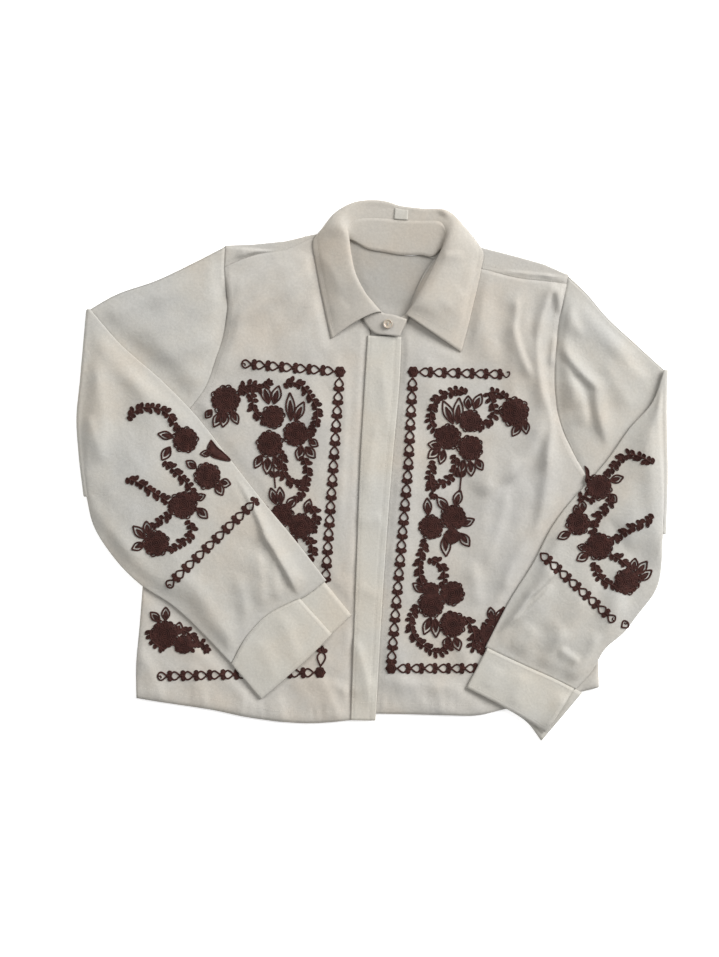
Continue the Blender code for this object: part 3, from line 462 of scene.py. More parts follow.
def front_right_grid():
    centre = tuple((x + 2.2, y) for x, y in PLACKET_SEAM[::-1])
    hem = (centre[0],) + HEM_RIGHT[1:]
    centre = centre[:-1] + (NECKLINE_RIGHT[0],)
    return front_grid(hem, centre, NECKLINE_RIGHT, YOKE_SEAM_RIGHT, SIDE_RIGHT,
                      to_yoke_seam(ARMHOLE_RIGHT, YOKE_SEAM_RIGHT[-1]))


def front_left_grid():
    underlap = tuple((x + 3.0, y) for x, y in PLACKET_SEAM[::-1])
    underlap = (HEM_LEFT[0],) + underlap[1:]
    return front_grid(HEM_LEFT, underlap, NECKLINE_LEFT, YOKE_SEAM_LEFT, SIDE_LEFT,
                      to_yoke_seam(ARMHOLE_LEFT, YOKE_SEAM_LEFT[-1]))


def placket_grid():
    seam = smooth(PLACKET_SEAM, PLACKET_STEPS)
    edge = smooth(PLACKET_EDGE, PLACKET_STEPS)
    share = np.linspace(0, 1, PLACKET_ACROSS + 1)[None, :, None]
    plan = seam[:, None] * (1 - share) + edge[:, None] * share
    return with_height(plan, PLACKET_MID)


def stations(table, steps):
    """The rows of a table as points, with soft rows between them."""
    rows = np.array(table[1:], float)
    groups = rows.reshape(len(rows), -1, 3)
    return np.stack([smooth_stations(groups[:, column], steps) for column in range(groups.shape[1])], axis=1)


def smooth_stations(points, steps):
    count = len(points)
    slopes = np.gradient(points, axis=0)
    where = np.linspace(0, count - 1, (count - 1) * steps + 1)
    index = np.minimum(where.astype(int), count - 2)
    t = (where - index)[:, None]
    return (
        (2 * t**3 - 3 * t**2 + 1) * points[index]
        + (t**3 - 2 * t**2 + t) * slopes[index]
        + (3 * t**2 - 2 * t**3) * points[index + 1]
        + (t**3 - t**2) * slopes[index + 1]
    )


def stand_grid():
    ends = stations(STAND_STATIONS, COLLAR_STEPS)
    share = np.linspace(0, 1, STAND_ACROSS + 1)[None, :, None]
    return ends[:, :1] * (1 - share) + ends[:, 1:] * share


def leaf_grid():
    stand = STAND_STATIONS[:1] + STAND_STATIONS[1 + LEAF_FIRST:2 + LEAF_LAST]
    ends = stations(stand, COLLAR_STEPS)
    rows = np.array(LEAF_STATIONS[1:], float)
    rise, lift, fall, edge = (
        smooth_stations(rows[:, columns], COLLAR_STEPS)
        for columns in (slice(0, 1), slice(1, 2), slice(2, 5), slice(5, 8))
    )
    edge_run = unit(np.gradient(ends[:, 1], axis=0))
    up = ends[:, 1] - ends[:, 0]
    up = unit(up - (up * edge_run).sum(axis=-1, keepdims=True) * edge_run)
    start = ends[:, 1] + up * LEAF_SEAM
    roll = start + up * rise + lift * (0, 0, 1)
    t = np.linspace(0, 1, LEAF_ACROSS + 1)[None, :, None]
    start, roll, fall, edge = (points[:, None] for points in (start, roll, fall, edge))
    grid = (1 - t) ** 3 * start + 3 * (1 - t) ** 2 * t * roll + 3 * (1 - t) * t**2 * fall + t**3 * edge
    grid[..., 2] = np.maximum(grid[..., 2], LEAF / 2)
    return grid


def edge_frame(plan, half):
    """The rows drawn in softly at both ends for the rounded edges, with the outward directions and the edges' reach."""
    first, last = unit(plan[:, 0] - plan[:, 1]), unit(plan[:, -1] - plan[:, -2])
    steps = np.linalg.norm(np.diff(plan, axis=1), axis=-1)
    from_first = np.concatenate([np.zeros((len(plan), 1)), np.cumsum(steps, axis=1)], axis=1)
    from_last = from_first[:, -1:] - from_first
    reach = half + 0.2
    inner = plan - first[:, None] * (np.exp(-from_first / EDGE_SOFTNESS) * (reach[:, :1] + CLOTH / 2))[..., None]
    inner = inner - last[:, None] * (np.exp(-from_last / EDGE_SOFTNESS) * (reach[:, -1:] + CLOTH / 2))[..., None]
    return inner, first, last, reach


def rounded_edge(end, outward, upward, reach, half, angles):
    """Points round one edge of a flattened tube, from its upper wall to its lower one."""
    return np.stack([end + outward * reach * math.sin(math.radians(a)) + upward * half * math.cos(math.radians(a))
                     for a in angles], axis=1)


def tube_rings(plan, low, high):
    """Rings of a flattened tube: across one wall from edge to edge and back along the other."""
    half = abs(high - low) / 2
    inner, first, last, reach = edge_frame(plan, half)
    over, under = with_height(inner, high), with_height(inner, low)
    middle = with_height(inner, (high + low) / 2)
    upward = np.array([0, 0, 1.0]) * np.sign(high - low)[:, :1, None][:, 0]
    ends = []
    for column, outward in ((-1, last), (0, first)):
        ends.append(rounded_edge(middle[:, column], with_height(outward, 0.0), upward, reach[:, column, None],
                                 half[:, column, None], EDGE_ANGLES))
    return np.concatenate([over, ends[0], under[:, ::-1], ends[1][:, ::-1]], axis=1)


def bend_rings(row, inward):
    """Rings round the elbow fold, where the upper arm turns over to become the forearm."""
    half = (CLOTH + ELBOW_GAP) / 2
    radius = ELBOW_RADIUS + CLOTH + ELBOW_GAP / 2
    axis_height = BACK_MID + half + radius
    inner, first, last, reach = edge_frame(row[None], np.full((1, len(row)), half))
    rings = []
    for angle in BEND_ANGLES:
        turn = math.radians(angle)
        normal = np.array([inward * math.sin(turn), 0, math.cos(turn)])
        centre = with_height(inner[0], axis_height) - normal * radius
        ends = [rounded_edge(centre[None, column], with_height(outward, 0.0), normal, reach[0, column], half,
                             EDGE_ANGLES)[0] for column, outward in ((-1, last), (0, first))]
        rings.append(np.concatenate([centre + normal * half, ends[0], (centre - normal * half)[::-1], ends[1][::-1]]))
    return np.array(rings)


def armhole_seam(sleeve):
    """The armhole moved out by a seam's gap, so that the sleeve's end meets the body edge to edge."""
    samples = smooth(sleeve["armhole"], ARMHOLE_STEPS)
    ahead = unit(np.gradient(samples, axis=0))
    outward = np.stack([ahead[:, 1], -ahead[:, 0]], axis=-1) * sleeve["inward"]
    gap = np.full((len(samples), 1), ARMHOLE_GAP)
    gap[-1] += ARMPIT_GAP
    return samples + outward * gap


# Creases: start, end, height, half width, how far the line bows to its left and how far its crest leans to its left
FRONT_CREASES = (
    (-70, 226, -157, 168, 2.6, 12, 4, 0.3), (-92, 232, -160, 196, 1.6, 8, -3, 0), (-60, 190, -140, 112, 1.7, 13, 6, -0.3),
    (-160, 214, -196, 92, 2.2, 7, 4, 0.4), (-146, 176, -172, 110, 1.4, 9, 3, 0), (-70, 100, -60, -20, 1.0, 13, 4, 0),
    (-190, 60, -150, -20, 1.2, 12, -5, 0), (-230, -175, -120, -245, 1.2, 14, 6, 0), (-262, -200, -236, -262, 1.2, 9, 3, 0.4),
    (-60, -228, -38, -282, 1.3, 8, 2, 0.5), (-110, -236, -100, -284, 1.0, 8, 0, 0.4), (-205, -215, -190, -268, 0.9, 10, 3, 0),
    (-48, -238, -26, -250, 1.2, 6, 1, 0.4), (-140, -244, -150, -276, 0.8, 6, 0, 0.4),
    (162, 190, 158, 152, 2.0, 4, 0, 0.6), (158, 158, 176, 106, 2.2, 5, -2, 0.6), (202, 207, 185, 150, 3.0, 5, -1, 0.6),
    (184, 156, 199, 60, 2.8, 6, -5, 0.6), (203, 204, 211, 176, 3.2, 6, 1, -0.6), (204, 150, 198, 118, 1.8, 5, 1, -0.5),
    (150, 172, 158, 60, 1.4, 10, 3, 0), (120, 215, 132, 120, 1.3, 14, -4, 0), (92, 210, 104, 140, 1.0, 12, 3, 0),
    (200, 62, 192, 2, 3.0, 5, 3, 0.6), (192, 54, 150, -14, 2.6, 7, 4, 0.5), (197, 36, 183, -72, 2.5, 9, 3, -0.4),
    (184, -60, 147, -130, 2.2, 10, -3, -0.4), (150, -120, 134, -176, 1.6, 10, 3, 0), (162, 12, 122, -26, 1.8, 8, 3, 0.4),
    (128, 20, 112, -120, 1.2, 12, 5, 0.3), (150, -20, 126, -104, 1.7, 8, 4, 0.4), (112, -104, 118, -150, 1.3, 8, 0, 0.3),
    (95, -196, 122, -262, 1.2, 10, 4, 0), (40, -235, 60, -268, 1.0, 8, 0, 0), (60, 130, 66, 60, 0.8, 14, 0, 0),
    (10, -236, 130, -250, 1.2, 7, 2, 0.3), (28, -186, 34, -262, 0.9, 8, 0, 0), (70, -238, 78, -272, 0.8, 6, 0, 0.3),
    (-40, 130, -52, 20, 1.1, 9, 2, 0.3), (-30, 110, -38, -60, 0.9, 6, 2, 0.4), (44, 60, 34, -120, 0.9, 7, 2, 0),
    (215, -228, 246, -236, 0.9, 8, 0, 0), (226, -160, 240, -226, 1.0, 9, 2, 0),
)
ARM_CREASES = (
    (-172, 240, -250, 190, 2.4, 13, 6, 0.3), (-168, 206, -262, 150, 2.2, 14, 8, 0), (-172, 150, -300, 118, 2.2, 15, 8, 0.3),
    (-190, 108, -300, 64, 1.8, 15, 6, 0), (-196, 232, -176, 226, 1.6, 5, 1, 0.5), (-240, 40, -310, -10, 1.6, 14, 5, 0),
    (-300, 186, -250, 132, 1.8, 10, -4, 0.4), (-204, 222, -300, 172, 1.6, 10, 3, 0),
    (218, 200, 232, 150, 2.2, 8, -4, 0.4), (215, 178, 206, 138, 2.6, 5, 2, -0.5), (206, 144, 250, 91, 3.4, 5, -3, -0.6),
    (248, 96, 267, 22, 3.4, 7, -5, -0.6),
    (214, 120, 224, 70, 2.2, 8, 3, 0.3), (232, 190, 300, 128, 2.0, 12, -5, 0), (262, 160, 306, 96, 1.8, 12, -4, 0.3),
    (222, 100, 236, 50, 2.4, 8, 4, 0.4), (260, 120, 296, 66, 1.8, 11, -4, 0), (250, -20, 315, -62, 1.4, 12, 4, 0),
)
FORE_CREASES = (
    (-152, -8, -118, -80, 3.0, 5, 3, -0.85), (-122, -72, -81, -146, 3.2, 5, 2, -0.85), (-300, 150, -250, 60, 2.0, 14, 8, 0),
    (-312, 120, -302, 20, 2.2, 13, 5, 0.3), (-280, 110, -190, 40, 1.5, 12, 4, 0.2), (-298, -60, -220, -142, 1.6, 11, -6, 0),
    (-225, -108, -150, -205, 1.6, 12, 5, 0.3), (-250, -70, -180, -150, 1.3, 14, 4, 0), (-104, -96, -104, -148, 1.8, 9, -5, 0.4),
    (-130, -90, -124, -160, 1.8, 9, 3, 0.3), (-262, 20, -300, -30, 1.4, 13, 3, 0), (-240, 60, -268, -20, 1.2, 12, 4, 0),
    (-150, -120, -142, -186, 1.3, 8, 3, 0), (-318, 60, -300, 10, 1.6, 9, 0, 0.3),
    (204, -112, 172, -142, 2.6, 4, 2, 0.8), (177, -138, 138, -182, 3.0, 4, 3, 0.85), (199, -128, 152, -170, 1.8, 4, 4, -0.7),
    (209, -200, 230, -214, 1.8, 5, 0, 0.4), (290, -30, 262, -170, 1.8, 14, 8, 0), (312, 40, 318, -90, 1.8, 12, -5, 0),
    (300, 20, 250, -60, 1.4, 13, 5, 0), (250, -120, 200, -200, 1.8, 10, 5, 0.3), (215, -60, 180, -150, 1.3, 10, -4, 0),
    (318, 100, 300, 10, 1.7, 11, 4, 0), (285, -100, 250, -205, 1.6, 11, 4, 0.3), (236, -140, 196, -176, 1.6, 9, 3, 0.4),
    (252, -186, 226, -236, 1.8, 7, 2, 0.5), (180, -176, 160, -206, 1.5, 8, 2, 0.3), (212, -176, 190, -222, 1.4, 8, 2, 0),
)
LEAF_CREASES = (
    (82, 294, 73, 244, 2.2, 3, -1, 0.5), (66, 242, 100, 240, 1.0, 4, -2, 0.5), (-60, 240, -36, 200, 0.8, 8, 3, 0), (-52, 170, -30, 185, 0.6, 8, 0, 0),
    (100, 200, 80, 180, 0.8, 9, 3, 0), (-10, 300, 60, 300, 0.6, 8, 0, 0), (112, 232, 96, 160, 0.8, 6, 0, 0.3),
)
CRUMPLES = ((88.0, 0.8), (46.0, 0.46), (23.0, 0.16), (11.0, 0.05))

HEM_DEPTH = 12.0
HEM_STEP = 0.55
PUCKER = 0.3
STITCH_PITCH = 2.6
STITCH_LONG = 1.9
STITCH_RADIUS = 0.22

PIXEL = 1.12
PIXEL_ORIGIN = (372.5, 470)
CORD = 0.78                    # half the width of an embroidered cord
CORD_STEP = 1.3
LINK = 15.4                    # pitch of the chain border

# Chain borders: start, end and whether a solid knot stands at the start. The links point back at their start.
CHAIN_RUNS = (
    ("front_right", 340, 372, 238, 363.5, 1, 1), ("front_right", 340, 372, 325.5, 582, 0),
    ("front_right", 320, 672, 322.5, 646, 1), ("front_right", 320, 672, 154, 676, 0, 1),
    ("front_left", 413, 372, 502.5, 374.5, 1, 2), ("front_left", 413, 372, 408, 470, 0),
    ("front_left", 408, 470, 391, 664, 0), ("front_left", 391, 668, 478, 668, 1),
    ("sleeve_right", 254, 502.5, 165, 589, 0, 1), ("sleeve_right", 254.5, 502, 253.5, 503, 0, 3), ("sleeve_left", 540, 553, 616, 623, 0, 1),
    ("sleeve_left", 621, 627, 630, 620, 0, 1),
)
# Flowers: carrier, centre and radius
FLOWERS = (
    ("front_right", 226, 400, 15), ("front_right", 273, 417, 12), ("front_right", 296, 434, 13),
    ("front_right", 270, 444, 13.5), ("front_right", 282, 515, 12), ("front_right", 301, 526, 13),
    ("front_right", 165, 634, 14.5), ("front_right", 184, 644, 9),
    ("front_left", 514, 412, 15), ("front_left", 470, 421, 11.5), ("front_left", 448, 437, 13),
    ("front_left", 470, 448, 13), ("front_left", 453, 517, 13), ("front_left", 431, 527, 12.5),
    ("front_left", 452, 593, 12.5), ("front_left", 431, 604, 13.5), ("front_left", 452, 624, 13.5),
    ("front_left", 452, 536, 8), ("front_left", 431, 590, 8), ("front_left", 488, 634, 9),
    ("sleeve_right", 186, 440, 13), ("sleeve_right", 208, 476, 13.5), ("sleeve_right", 184, 505, 14),
    ("sleeve_right", 157, 543, 13.5),
    ("sleeve_left", 598, 487, 13), ("sleeve_left", 577, 523, 12), ("sleeve_left", 598, 546, 14),
    ("sleeve_left", 626, 581, 13.5),
)
# Solid spikes: carrier and corners
SPIKES = (
    ("sleeve_right", (211.5, 440), (218, 448), (224, 453), (230.5, 460.5), (221, 459.5), (212, 456), (208, 449)),
    ("sleeve_left", (584.5, 466), (588, 470), (589, 476), (594, 478), (590, 484), (585.5, 482), (586, 474)),
)
# Leaves: carrier, base, tip and half width
LEAVES = (
    ("front_right", 222, 412, 214, 427, 4.5), ("front_right", 226, 412, 223, 427, 4.5),
    ("front_right", 232, 411, 238, 424, 4), ("front_right", 212, 410, 206, 418, 3.5),
    ("front_right", 269, 404, 263, 384, 4.8), ("front_right", 274, 404, 279, 386, 4.8),
    ("front_right", 291, 421, 290, 393, 4.5), ("front_right", 295, 421, 304, 402, 4.5),
    ("front_right", 262, 455, 255, 468, 4), ("front_right", 268, 458, 267, 474, 4.5),
    ("front_right", 274, 456, 280, 470, 4), ("front_right", 302, 446, 298, 460, 4.5),
    ("front_right", 306, 447, 315, 458, 4.5), ("front_right", 309, 440, 318, 446, 4),
    ("front_right", 276, 504, 271, 488, 4), ("front_right", 281, 504, 280, 487, 4),
    ("front_right", 287, 508, 296, 497, 4.5), ("front_right", 274, 477, 270, 471, 2), ("front_right", 275, 477, 279, 471, 2),
    ("front_right", 306, 513, 310, 499, 4),
    ("front_right", 160, 621, 151, 612, 4), ("front_right", 166, 620, 166, 607, 4),
    ("front_right", 296, 538, 291, 548, 4), ("front_right", 178, 634, 180, 622, 4),
    ("front_right", 252, 394, 256, 383, 3), ("front_right", 268, 512, 262, 505, 3),
    ("front_left", 520, 424, 512, 436, 4), ("front_left", 524, 420, 526, 434, 4),
    ("front_left", 468, 409, 468, 396, 4), ("front_left", 474, 409, 481, 394, 4.5),
    ("front_left", 453, 424, 443, 401, 5), ("front_left", 457, 424, 459, 398, 5),
    ("front_left", 464, 460, 460, 474, 4), ("front_left", 470, 461, 471, 476, 4.5),
    ("front_left", 476, 459, 482, 470, 4), ("front_left", 441, 446, 428, 444, 4.5), ("front_left", 440, 448, 428, 458, 4.8),
    ("front_left", 444, 450, 440, 464, 4), ("front_left", 455, 506, 460, 490, 4.5),
    ("front_left", 448, 510, 437, 497, 4.5), ("front_left", 428, 515, 427, 498, 4),
    ("front_left", 461, 525, 474, 519, 4), ("front_left", 460, 477, 457, 471, 2), ("front_left", 461, 477, 465, 471, 2),
    ("front_left", 460, 533, 469, 546, 4.8), ("front_left", 445, 535, 446, 556, 5),
    ("front_left", 424, 592, 413, 583, 4), ("front_left", 431, 617, 424, 634, 4.5),
    ("front_left", 435, 618, 436, 637, 4.5), ("front_left", 449, 637, 445, 648, 4.5),
    ("front_left", 455, 637, 459, 650, 4.5), ("front_left", 492, 620, 490, 607, 4),
    ("front_left", 496, 622, 503, 608, 4), ("front_left", 484, 642, 477, 650, 3.5),
    ("sleeve_right", 174, 437, 159, 434, 4), ("sleeve_right", 171, 447, 163, 460, 4.5),
    ("sleeve_right", 197, 468, 187, 461, 4), ("sleeve_right", 217, 484, 223, 495, 4.5),
    ("sleeve_right", 220, 482, 231, 484, 4.5), ("sleeve_right", 198, 508, 208, 518, 4.5),
    ("sleeve_right", 196, 499, 206, 495, 3.5), ("sleeve_right", 146, 538, 134, 526, 4.5),
    ("sleeve_right", 149, 534, 147, 521, 4), ("sleeve_right", 145, 543, 133, 549, 4),
    ("sleeve_left", 609, 481, 622, 477, 4), ("sleeve_right", 212, 453, 201, 454, 3.2),
    ("sleeve_left", 608, 494, 615, 502, 4), ("sleeve_left", 570, 532, 557, 538, 4),
    ("sleeve_left", 588, 553, 576, 560, 4.5), ("sleeve_left", 586, 548, 577, 546, 3.5),
    ("sleeve_left", 636, 574, 646, 561, 4.5), ("sleeve_left", 638, 580, 651, 570, 4.5),
    ("sleeve_left", 632, 570, 634, 558, 4), ("sleeve_left", 582, 512, 581, 500, 4),
    ("sleeve_left", 577, 514, 575, 505, 3.5),
)
# Bare stems: carrier and points
STEMS = (
    ("front_right", (273.5, 456), (274, 470), (275.5, 488)), ("front_left", (462, 460), (461, 476), (459.5, 492)),
)
# Vines: carrier and the points that the stem runs through
VINES = (
    ("front_right", (238, 392), (250, 385), (262, 388), (268, 384)),
    ("front_right", (240, 388), (252, 398), (254, 410), (262, 420)),
    ("front_right", (284, 384), (294, 383), (302, 386), (310, 396), (317, 410), (316, 424), (310, 434)),
    ("front_right", (284, 451), (282, 462), (284, 474), (291, 482), (301, 485)),
    ("front_right", (303, 456), (307, 468), (307, 480), (304, 490), (298, 497)),
    ("front_right", (306, 536), (312, 546), (311, 558), (306, 562)),
    ("front_right", (310, 505), (316, 515), (314, 528)),
    ("front_right", (176, 646), (190, 648), (202, 642), (206, 648)),
    ("front_right", (180, 628), (190, 634), (196, 642)), ("front_right", (150, 630), (152, 640), (160, 647)),
    ("front_left", (506, 399), (498, 393), (489, 393), (492, 402), (494, 412), (489, 421), (481, 427)),
    ("front_left", (466, 394), (456, 390), (448, 394), (438, 398), (432, 408), (430, 420), (436, 432)),
    ("front_left", (455, 455), (455, 468), (451, 478), (441, 484), (432, 483)),
    ("front_left", (435, 462), (430, 472), (430, 482), (433, 494)),
    ("front_left", (426, 540), (421, 554), (419, 570), (422, 584), (428, 592)),
    ("front_left", (429, 558), (438, 563), (444, 572), (443, 584)),
    ("front_left", (418, 606), (411, 616), (411, 628), (416, 639), (426, 647), (438, 652), (448, 648)),
    ("front_left", (464, 616), (470, 624), (474, 636), (472, 646), (480, 650)),
    ("front_left", (482, 644), (490, 634), (498, 622), (504, 612)), ("front_left", (474, 640), (484, 630), (490, 618)),
    ("sleeve_right", (128, 418), (142, 409), (156, 408), (168, 414), (176, 426)),
    ("sleeve_right", (166, 461), (172, 468), (182, 477), (190, 486), (194, 496)),
    ("sleeve_right", (128, 478), (142, 484), (154, 492), (166, 500), (172, 506)),
    ("sleeve_right", (174, 512), (164, 518), (156, 524)),
    ("sleeve_right", (190, 520), (192, 532), (184, 542), (174, 548)),
    ("sleeve_left", (651, 464), (641, 458), (628, 455), (616, 462), (608, 472)),
    ("sleeve_left", (612, 496), (604, 508), (596, 518), (592, 530)),
    ("sleeve_left", (652, 517), (642, 522), (630, 528), (620, 534), (612, 540)),
    ("sleeve_left", (610, 554), (620, 560), (626, 566)),
    ("sleeve_left", (594, 562), (596, 574), (606, 582), (614, 586)),
    ("sleeve_left", (577, 500), (582, 496), (589, 499)),
)


def crease_height(plan, table):
    """Soft creases with a narrow crest, each fading at its ends."""
    height = np.zeros(plan.shape[:-1])
    for x0, y0, x1, y1, rise, width, bow, lean in table:
        run = np.array([x1 - x0, y1 - y0], float)
        length = np.linalg.norm(run)
        ahead = run / length
        offset = plan - (x0, y0)
        t = offset @ ahead / length
        inside = np.clip(t, 0, 1)
        across = offset @ np.array([-ahead[1], ahead[0]]) - bow * 4 * inside * (1 - inside)
        fade = soft_step((t + 0.12) / 0.32) * soft_step((1.12 - t) / 0.32)
        spread = np.where(across > 0, width * (1 - 0.8 * lean), width * (1 + 0.8 * lean)) + 0.6
        height += FOLD_GAIN * rise * np.exp(-np.abs(across / spread) ** 1.7) * fade
    return height


def crumple(plan, shift):
    """Small uneven waves of lying cloth."""
    height = np.zeros(plan.shape[:-1])
    x, y = plan[..., 0], plan[..., 1]
    for number, (length, rise) in enumerate(CRUMPLES):
        for turn in range(3):
            angle = shift + 1.9 * number + 2.2 * turn
            along = (x * math.cos(angle) + y * math.sin(angle)) * 2 * math.pi / length
            across = (y * math.cos(angle) - x * math.sin(angle)) * 2 * math.pi / length
            height += rise / 3 * (1 + np.sin(along + 1.7 * np.sin(across * 0.61 + shift + turn)))
    return height


def pressed(plan, outlines, reach, least):
    """1 where the cloth is free and `least` under what presses on it."""
    free = np.ones(plan.shape[:-1])
    for outline in outlines:
        free = np.minimum(free, soft_step(distance_outside(plan, outline) / reach))
    return least + (1 - least) * free


def hem_step(grid, depth=HEM_DEPTH, rows="first"):
    """Lifts the rows within a hem's depth of one edge by the turned-up cloth."""
    edge = grid[:1] if rows == "first" else grid[-1:]
    away = np.linalg.norm(grid[..., :2] - edge[..., :2], axis=-1)
    lifted = grid.copy()
    band = soft_step((depth + 1.2 - away) / 2.0)
    x = grid[..., 0]
    puckers = np.sin(x * 0.55 + 1.6 * np.sin(x * 0.09)) * np.sin(x * 0.047 + 1)
    lifted[..., 2] += HEM_STEP * band + PUCKER * (1 + puckers) * np.exp(-(((away - depth) / 9) ** 2))
    lifted[..., 2] -= 0.4 * np.exp(-(((away - depth + 1) / 1.1) ** 2))
    return lifted


def body_folds(grid, shift):
    """Adds the creases and crumples of a front to the heights of its grid."""
    plan = grid[..., :2]
    free = pressed(plan, FOREARM_FOOTPRINTS + COLLAR_FOOTPRINTS, 14, 0.0)
    free = np.minimum(free, soft_step(-distance_outside(plan, body_outline()) / 9 + 0.35))
    placket = PLACKET_SEAM + PLACKET_EDGE[::-1]
    near = pressed(plan, (placket,), 9, 0.0)
    folded = grid.copy()
    folded[..., 2] += (crease_height(plan, FRONT_CREASES) + crumple(plan, shift)) * free * near
    return folded


def cloth_shell(name, grid, thickness, slot_material, ring=False):
    """A cloth wall with rounded edges round the grid of its middle surface."""
    rows, columns = grid.shape[:2]
    normals = grid_normals(grid, ring)
    upper, lower = grid + normals * thickness / 2, grid - normals * thickness / 2
    points = np.concatenate([upper.reshape(-1, 3), lower.reshape(-1, 3)])
    other = rows * columns
    index = np.arange(other).reshape(rows, columns)
    left = index[:-1] if ring else index[:-1, :-1]
    right = np.roll(index, -1, axis=1)[:-1] if ring else index[:-1, 1:]
    below_left = index[1:] if ring else index[1:, :-1]
    below_right = np.roll(index, -1, axis=1)[1:] if ring else index[1:, 1:]
    quads = np.stack([left, right, below_right, below_left], axis=-1).reshape(-1, 4)
    faces = [quads, quads[:, ::-1] + other]
    extra = []
    edges = []
    if ring:
        edges += [(index[0], grid[0] - grid[1], True), (index[-1][::-1], (grid[-1] - grid[-2])[::-1], True)]
    else:
        loop = np.concatenate([index[0, :-1], index[:-1, -1], index[-1, :0:-1], index[:0:-1, 0]])
        outward = np.zeros_like(grid)
        outward[0] += unit(grid[0] - grid[1])
        outward[-1] += unit(grid[-1] - grid[-2])
        outward[:, 0] += unit(grid[:, 0] - grid[:, 1])
        outward[:, -1] += unit(grid[:, -1] - grid[:, -2])
        edges += [(loop, outward.reshape(-1, 3)[loop], True)]
    flat = grid.reshape(-1, 3)
    for loop, outward, _ in edges:
        start = len(points) + sum(len(rim) for rim in extra)
        extra.append(flat[loop] + unit(outward) * thickness * 0.22)
        rim = start + np.arange(len(loop))
        after, rim_after = np.roll(loop, -1), np.roll(rim, -1)
        faces.append(np.stack([after, loop, rim, rim_after], axis=-1))
        faces.append(np.stack([rim_after, rim, loop + other, after + other], axis=-1))
    points = np.concatenate([points] + extra)
    mesh = bpy.data.meshes.new(name)
    placed = (points + (CENTRE[0], CENTRE[1], 0)) * MM
    mesh.from_pydata(placed.tolist(), [], np.concatenate(faces).tolist())
    mesh.validate()
    shape = bmesh.new()
    shape.from_mesh(mesh)
    bmesh.ops.recalc_face_normals(shape, faces=shape.faces)
    shape.to_mesh(mesh)
    shape.free()
    mesh.shade_smooth()
    made = bpy.data.objects.new(name, mesh)
    made.data.materials.append(slot_material)
    bpy.context.scene.collection.objects.link(made)
    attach(made, "root")
    return made


def surface_tree(*objects):
    """The surfaces of some pieces as one tree, in millimetres in the tables' own frame."""
    points, faces = [], []
    for made in objects:
        start = len(points)
        points += [(v.co.x / MM - CENTRE[0], v.co.y / MM - CENTRE[1], v.co.z / MM) for v in made.data.vertices]
        faces += [tuple(start + index for index in p.vertices) for p in made.data.polygons]
    return BVHTree.FromPolygons(points, faces)


def drop(tree, path, lift):
    """Points of a plan path laid on a surface."""
    laid = []
    height = 0.0
    for x, y in path:
        hit = tree.ray_cast(Vector((x, y, 60)), Vector((0, 0, -1)))[0]
        height = hit.z if hit else height
        laid.append((x, y, height + lift))
    return np.array(laid)


class Threads:
    """Collects tubes into one mesh."""

    def __init__(self):
        self.points, self.faces, self.count = [], [], 0

    def tube(self, path, radius, sides=6, closed=False, flat=0.8):
        if len(path) < 2:
            return
        ahead = unit(np.gradient(path, axis=0) + 1e-9)
        if closed:
            ahead = unit(np.roll(path, -1, axis=0) - np.roll(path, 1, axis=0) + 1e-9)
        side = unit(np.stack([-ahead[:, 1], ahead[:, 0], np.zeros(len(path))], axis=-1) + 1e-9)
        up = np.cross(ahead, side)
        turns = np.linspace(0, 2 * math.pi, sides, endpoint=False)
        rings = (path[:, None] + side[:, None] * np.cos(turns)[None, :, None] * radius
                 + up[:, None] * np.sin(turns)[None, :, None] * radius * flat)
        count = len(path)
        index = self.count + np.arange(count * sides).reshape(count, sides)
        first, second = (index, np.roll(index, -1, axis=0)) if closed else (index[:-1], index[1:])
        quads = np.stack([first, np.roll(first, -1, axis=1), np.roll(second, -1, axis=1), second], axis=-1)
        self.faces += quads.reshape(-1, 4).tolist()
        if not closed:
            self.faces += [index[0][::-1].tolist(), index[-1].tolist()]
        self.points.append(rings.reshape(-1, 3))
        self.count += count * sides

    def pad(self, tree, rim, hub, lift, shares=(0.93,)):
        """A low solid shape that follows the cloth: rings drawn in towards its hub over a steep rim."""
        count = len(rim)
        base = drop(tree, rim, -0.3)
        rings = [drop(tree, hub + (rim - hub) * share, lift + 0.2 * (1 - share)) for share in shares]
        bottom = base[:, 2].min()
        middle = drop(tree, np.array([hub]), lift + 0.25)[0]
        ends = np.array([[*hub, bottom], middle])
        first = self.count
        under, over = first + (len(rings) + 1) * count, first + (len(rings) + 1) * count + 1
        for index in range(count):
            after = (index + 1) % count
            for level in range(len(rings)):
                low, high = first + level * count, first + (level + 1) * count
                self.faces.append([low + index, low + after, high + after, high + index])
            last = first + len(rings) * count
            self.faces.append([last + index, last + after, over])
            self.faces.append([first + after, first + index, under])
        self.points += [base, *rings, ends]
        self.count += (len(rings) + 1) * count + 2

    def build(self, name, finish):
        mesh = bpy.data.meshes.new(name)
        placed = (np.concatenate(self.points) + (CENTRE[0], CENTRE[1], 0)) * MM
        placed[:, 2] = np.maximum(placed[:, 2], 0)
        mesh.from_pydata(placed.tolist(), [], self.faces)
        mesh.shade_smooth()
        made = bpy.data.objects.new(name, mesh)
        made.data.materials.append(finish)
        bpy.context.scene.collection.objects.link(made)
        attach(made, "root")
        return made


def spot(x, y):
    return np.array([(x - PIXEL_ORIGIN[0]) * PIXEL, (PIXEL_ORIGIN[1] - y) * PIXEL])


def resample(points, step):
    """A smooth path through the points at about the given step."""
    points = np.array(points, float)
    length = np.linalg.norm(np.diff(points, axis=0), axis=1).sum()
    return smooth(points, max(3, int(length / step)))


